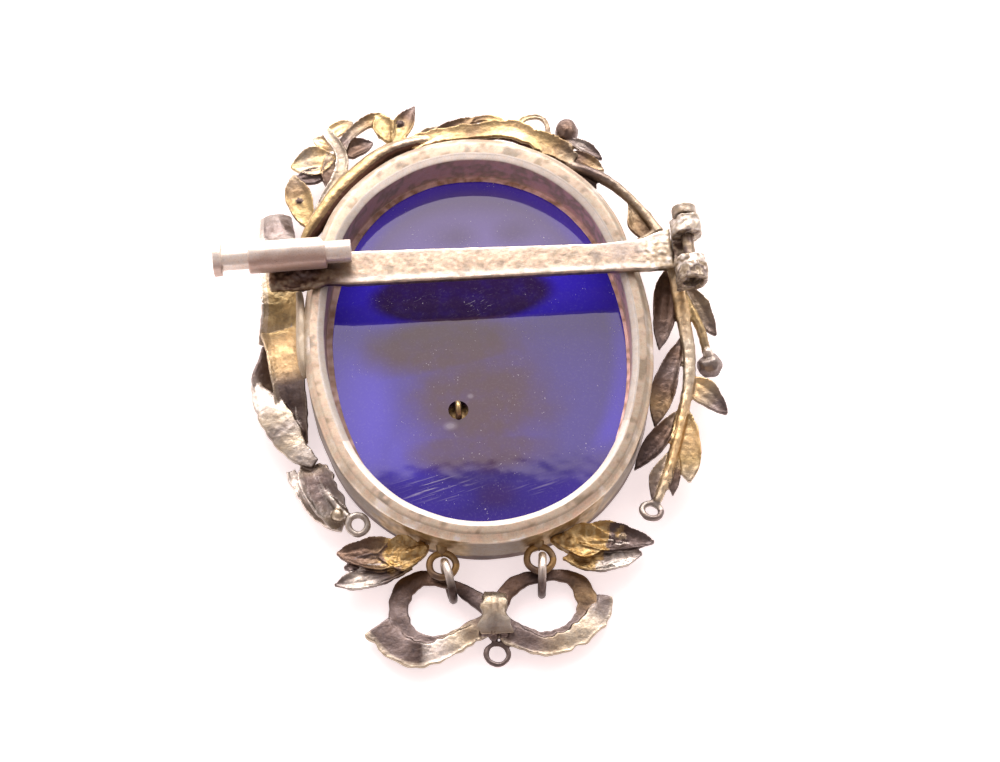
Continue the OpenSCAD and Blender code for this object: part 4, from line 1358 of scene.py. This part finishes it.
def bezel_tones(r, z):
    """Tones of the bezel at a distance outward from the opening and a height; the white bevels are painted
    highlights and the dark foot is painted shade with dirt
    """
    if r < INNER_FACE and LEDGE_HIGH < z < BEVEL_FOOT:
        return "plum plum tan plum"
    if r < INNER_FACE and LEDGE_LOW < z <= LEDGE_HIGH:
        return "rose copper rose"
    # Painted highlight: the inner bevel is white all round
    if r < BEVEL_REACH and z >= BEVEL_FOOT:
        return "bright white bright"
    if z > RIM_FACE:
        return "beige rim cream rim tan"
    # Painted highlight: the outer bevel is white and cream
    if z > SHOULDER:
        return "white cream rim"
    # Dark foot: painted shade near the floor, with dirt
    if z < FOOT_TOP:
        return "dark rust rust brown"
    return "tan beige tan"


def bezel_tint(r, z, base, out):
    """Tint of a point of the bezel that faces outward along out, with painted light and shade by the side of
    the oval it faces
    """
    left, right, up, down = max(-out[0], 0), max(out[0], 0), max(out[1], 0), max(-out[1], 0)
    tint = tone_at(bezel_tones(r, z), 0.5 + 0.9 * wander(base, 2.2, 95) + 0.6 * wander(base, 0.6, 96))
    on_rim, on_shoulder = z > 4.3 and r > 0.5, z > SHOULDER and r > 1.25
    on_bevel = z > BEVEL_FOOT and r < BEVEL_REACH
    on_inner_wall, on_outer_wall = LEDGE_LOW < z < BEVEL_FOOT and r < INNER_FACE, 1.1 < z < 4 and r > 1.5
    # Painted light and shade: the rim face lighter on the left side, darker on the right, top and bottom
    if on_rim:
        tint = tint * (1 - 0.15 * up - 0.1 * down) * (1 + 0.18 * left ** 2 - 0.3 * right ** 1.5)
    # Painted highlight: the outer bevel brighter along the oval's lower side
    if on_shoulder:
        tint = tint * (1 + 0.6 * down)
    # Painted shade: the inner bevel darker at the far left and on the right
    if on_bevel and out[1] > -0.35:
        tint = tint * (1 - 0.4 * clamp((left - 0.6) / 0.25)) * (1 - 0.25 * right ** 2)
    # Painted shade on the inner wall's left side and painted light on its right side
    if on_inner_wall:
        tint = tint * (1 - 0.5 * left + 0.3 * right)
    if on_outer_wall and out[1] < 0:
        far = abs(base[0])
        gilt = clamp(far - 1.8) * clamp(9.2 - far + 2 * wander(base, 1.2, 89))
        tint = blend(tint, tone_at("ochre gold sun", 0.5 + wander(base, 0.5, 88)), gilt)
    return tint


def bezel_slot(corner, other):
    """Material of the face between two points of the profile: 0 metal, 1 inner wall, 2 inner bevel with its
    painted highlight
    """
    r, z0, z1 = max(corner[0], other[0]), min(corner[1], other[1]), max(corner[1], other[1])
    if r < 0.06 and z0 > 1.2 and z1 < 4.25:
        return 1
    return 2 if r < BEVEL_REACH and z0 > 4 else 0


def build_bezel(metal, wall_metal, bevel_highlight_metal):
    s = Shell()
    profile = spaced(rounded(BEZEL_PROFILE, CORNER), PROFILE_STEP)
    points, normals = oval(0, BEZEL_ROUND)
    broader = np.linalg.norm(crowned(points + normals * WALL, WALL) - points, axis=1) - WALL
    verts, tints = [], []
    for point, normal, more in zip(points, normals, broader):
        out = np.array([*normal, 0])
        for r, z in profile:
            on_ledge = r < -0.2 and 1.4 < z < 1.75
            on_bevel = r < 0.45 and z > 4.1
            reach = r + more * clamp((r - 0.5) / 0.9)
            if on_ledge:
                reach -= 0.15 * max(out[1], 0) + 0.22 * max(-out[0], 0) ** 2
            base = np.array([*(point + normal * reach), z])
            wave = 0.05 * wander(base, 2.6, 91) + 0.015 * wander(base, 0.9, 92)
            lift = 0.04 * wander((base[0], base[1], 0), 3.4, 93) if z > SHOULDER else 0.0
            lift += 0.008 * wander(base, 0.7, 94)
            if on_bevel:
                lift += 0.24 * max(out[1], 0) * (0.45 - r) / 0.45
            verts.append(base + out * wave + np.array([0, 0, lift if z > 0.5 else 0]))
            tints.append(bezel_tint(r, z, base, out))
    s.add(verts, loft(len(points), len(profile), True), tints)
    for k, centre in enumerate(DROP_RINGS):
        ring(s, centre, DROP_R, DROP_WIRE, (0, 0, 0), "bronze ochre brown ochre", seed=96 + k)
        neck = [(centre[0], centre[1] + 1, 2, 0.42), (centre[0], centre[1] + 1.9, 2, 0.5)]
        tube(s, neck, "bronze gold", rough=0.2, seed=98 + k)
    tube(s, RIM_SOLDER, "tan cream cream tan", rough=0.12, seed=90)
    obj = finish_plain(s, metal, "bezel")
    obj.data.materials.append(wall_metal)
    obj.data.materials.append(bevel_highlight_metal)
    slots = [bezel_slot(corner, other) for corner, other in zip(profile, profile[1:] + profile[:1])]
    for polygon, slot in zip(obj.data.polygons, slots * len(points)):
        polygon.material_index = slot


# Lower and upper edge of the bar at two places along it. Columns: x, lower y, upper y
BAR_EDGES = [(-10.4, 5.3, 8.5), (10.7, 4.8, 7.5)]


def up_the_bar(p):
    """0 at the bar's lower edge, 1 at its upper one"""
    (x0, low0, high0), (x1, low1, high1) = BAR_EDGES
    t = (p[0] - x0) / (x1 - x0)
    low, high = blend(low0, low1, t), blend(high0, high1, t)
    return (p[1] - OPENING_Y - low) / (high - low)


# The x where the rough solder starts at the bar's left and right end, and the run over which it grows
SOLDER_LEFT, SOLDER_RIGHT, SOLDER_RUN = -11.5, 13.5, 2.5
# The y where the lower knuckle ends, where the upper one starts, and north of which the rivet gets a painted
# highlight
KNUCKLE_END, KNUCKLE_START, RIVET_HIGHLIGHT = 5, 7.1, 7.5


def bar_wear(co):
    """How rough the bar is: most at the solder of its two ends"""
    left = np.clip((SOLDER_LEFT - co[:, 0]) / SOLDER_RUN, 0, 1)
    right = np.clip((co[:, 0] - SOLDER_RIGHT) / SOLDER_RUN, 0, 1)
    return 0.25 + left * 1.7 + right * 0.5


def bar_tint(p):
    """Painted highlights along the edges, grey and cream solder toward the hinge, and dull solder with
    painted shade under the clasp tube toward the clasp
    """
    w, fine, up = wander(p, 1.1, 103), wander(p, 0.35, 104), up_the_bar(p)
    tone = tone_at("bar rim bar", 0.5 + w + 0.4 * fine)
    # Painted highlights along the bar's lower and upper edges
    edges = max(peak(up - 0.06, 0.09) * (0.7 + 0.5 * w), peak(up - 1, 0.16))
    tone = blend(tone, tone_at("white"), min(1, edges))
    tone = blend(tone, tone_at("grey"), 0.8 * peak(p[0] - 12.6 - 2 * w, 1.5) * peak(up - 0.6, 0.45))
    tone = blend(tone, tone_at("tan cream white", 0.5 + w + fine), clamp((p[0] - 14.4 + w) / 0.8))
    # Toward the clasp: dull solder darkened with painted shade under the clasp tube
    return blend(tone, tone_at("mauve brown tan", 0.45 + w + 0.5 * fine), clamp((-9.6 - p[0]) / 2.2))


def tube_tint(p, middle, seed):
    """Painted highlight on the tubes' upper side and painted shade below the middle"""
    # Painted shade below the middle, painted highlight above it
    dull = clamp((middle - p[1] + 0.3 * wander(p, 1.2, seed)) / 0.8)
    return blend(tone_at("bright"), tone_at("dull"), dull)


def knuckle_tint(p):
    w = wander(p, 0.8, 110)
    names = "white cream silver white"
    # Painted highlight on the lower knuckle's north side, painted shade on its south side; darker between
    # the knuckles
    if p[1] < KNUCKLE_END:
        names = "tan bright white tan" if p[1] > 3.7 + 1.5 * w else "tan mauve cream tan"
    elif p[1] < KNUCKLE_START:
        names = "brown tan mauve"
    return tone_at(names, 0.5 + w + wander(p, 0.35, 117))


def rivet_tint(p):
    # Painted highlight on the rivet's north side, painted shade on its south side
    return tone_at("silver tan" if p[1] > RIVET_HIGHLIGHT else "mauve tan", 0.5 + wander(p, 0.6, 114))


def build_bar(metal, tube_metal, solder_metal):
    finish_copy("back_bar", metal, voxel=0.085, smooth=3, grain=((0.09, 0.9, 101), (0.045, 0.35, 102)),
                colour=bar_tint, inside=bar_wear)
    finish_copy("clasp_tube", tube_metal, voxel=0.065, smooth=7, grain=((0.03, 1.4, 105), (0.006, 0.4, 106)),
                colour=lambda p: tube_tint(p, 7.7, 107))
    finish_copy("hinge_knuckles", solder_metal, voxel=0.07, smooth=3,
                grain=((0.2, 0.9, 108), (0.06, 0.35, 109)), colour=knuckle_tint)


def build_small_parts(metal, tube_metal):
    finish_copy("clasp_slider", tube_metal, voxel=0.07, smooth=2, grain=((0.012, 0.5, 111),),
                colour=lambda p: tube_tint(p, 7.2, 112), body="slider")
    finish_copy("hinge_rivet", metal, voxel=0.06, smooth=2, grain=((0.03, 0.5, 113),), colour=rivet_tint)
    finish_copy("staple", metal, voxel=0.05, smooth=2, grain=((0.02, 0.3, 115),),
                colour=lambda p: tone_at("gold bronze", 0.35 + wander(p, 0.4, 116)))


aim_camera()
build_floor()
build_room()
build_light()
wreath_metal = old_metal("wreath_metal")
bezel_metal = old_metal(
    "bezel_metal", amount=0.25, side=0.25, pits=0.01, blotch=2.4, roughness=(0.34, 0.5), metallic=0.6)
wall_metal = old_metal(
    "wall_metal", tarnish=(0.36, 0.22, 0.23), amount=0.25, side=0, pits=0.015, blotch=2,
    roughness=(0.4, 0.6), metallic=0.05)
# Pale, half diffuse material for the inner bevel: a painted highlight
bevel_highlight_metal = old_metal(
    "bevel_highlight_metal", tarnish=(0.55, 0.46, 0.38), amount=0.15, side=0, pits=0.005, scratches=0.1,
    roughness=(0.35, 0.5), metallic=0.2)
bar_metal = old_metal("bar_metal", amount=0.3, side=0.3, scratches=0.6, pits=0.015, blotch=1.8)
tube_metal = old_metal(
    "tube_metal", amount=0.12, side=0.15, scratches=0.2, pits=0.006, blotch=2.2,
    roughness=(0.3, 0.42), metallic=0.5)
cutters = room_cutters()
build_left_ribbon(wreath_metal, cutters)
build_top_branch(wreath_metal, cutters)
build_right_branch(wreath_metal, cutters)
build_sprays(wreath_metal, cutters)
build_bow(wreath_metal)
build_jump_rings(bar_metal)
build_bezel(bezel_metal, wall_metal, bevel_highlight_metal)
build_bar(bar_metal, tube_metal, bezel_metal)
build_small_parts(bar_metal, tube_metal)
for cutter in cutters:
    bpy.data.objects.remove(cutter)
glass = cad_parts["glass"]
glass.data.materials.clear()
glass.data.materials.append(blue_glass())
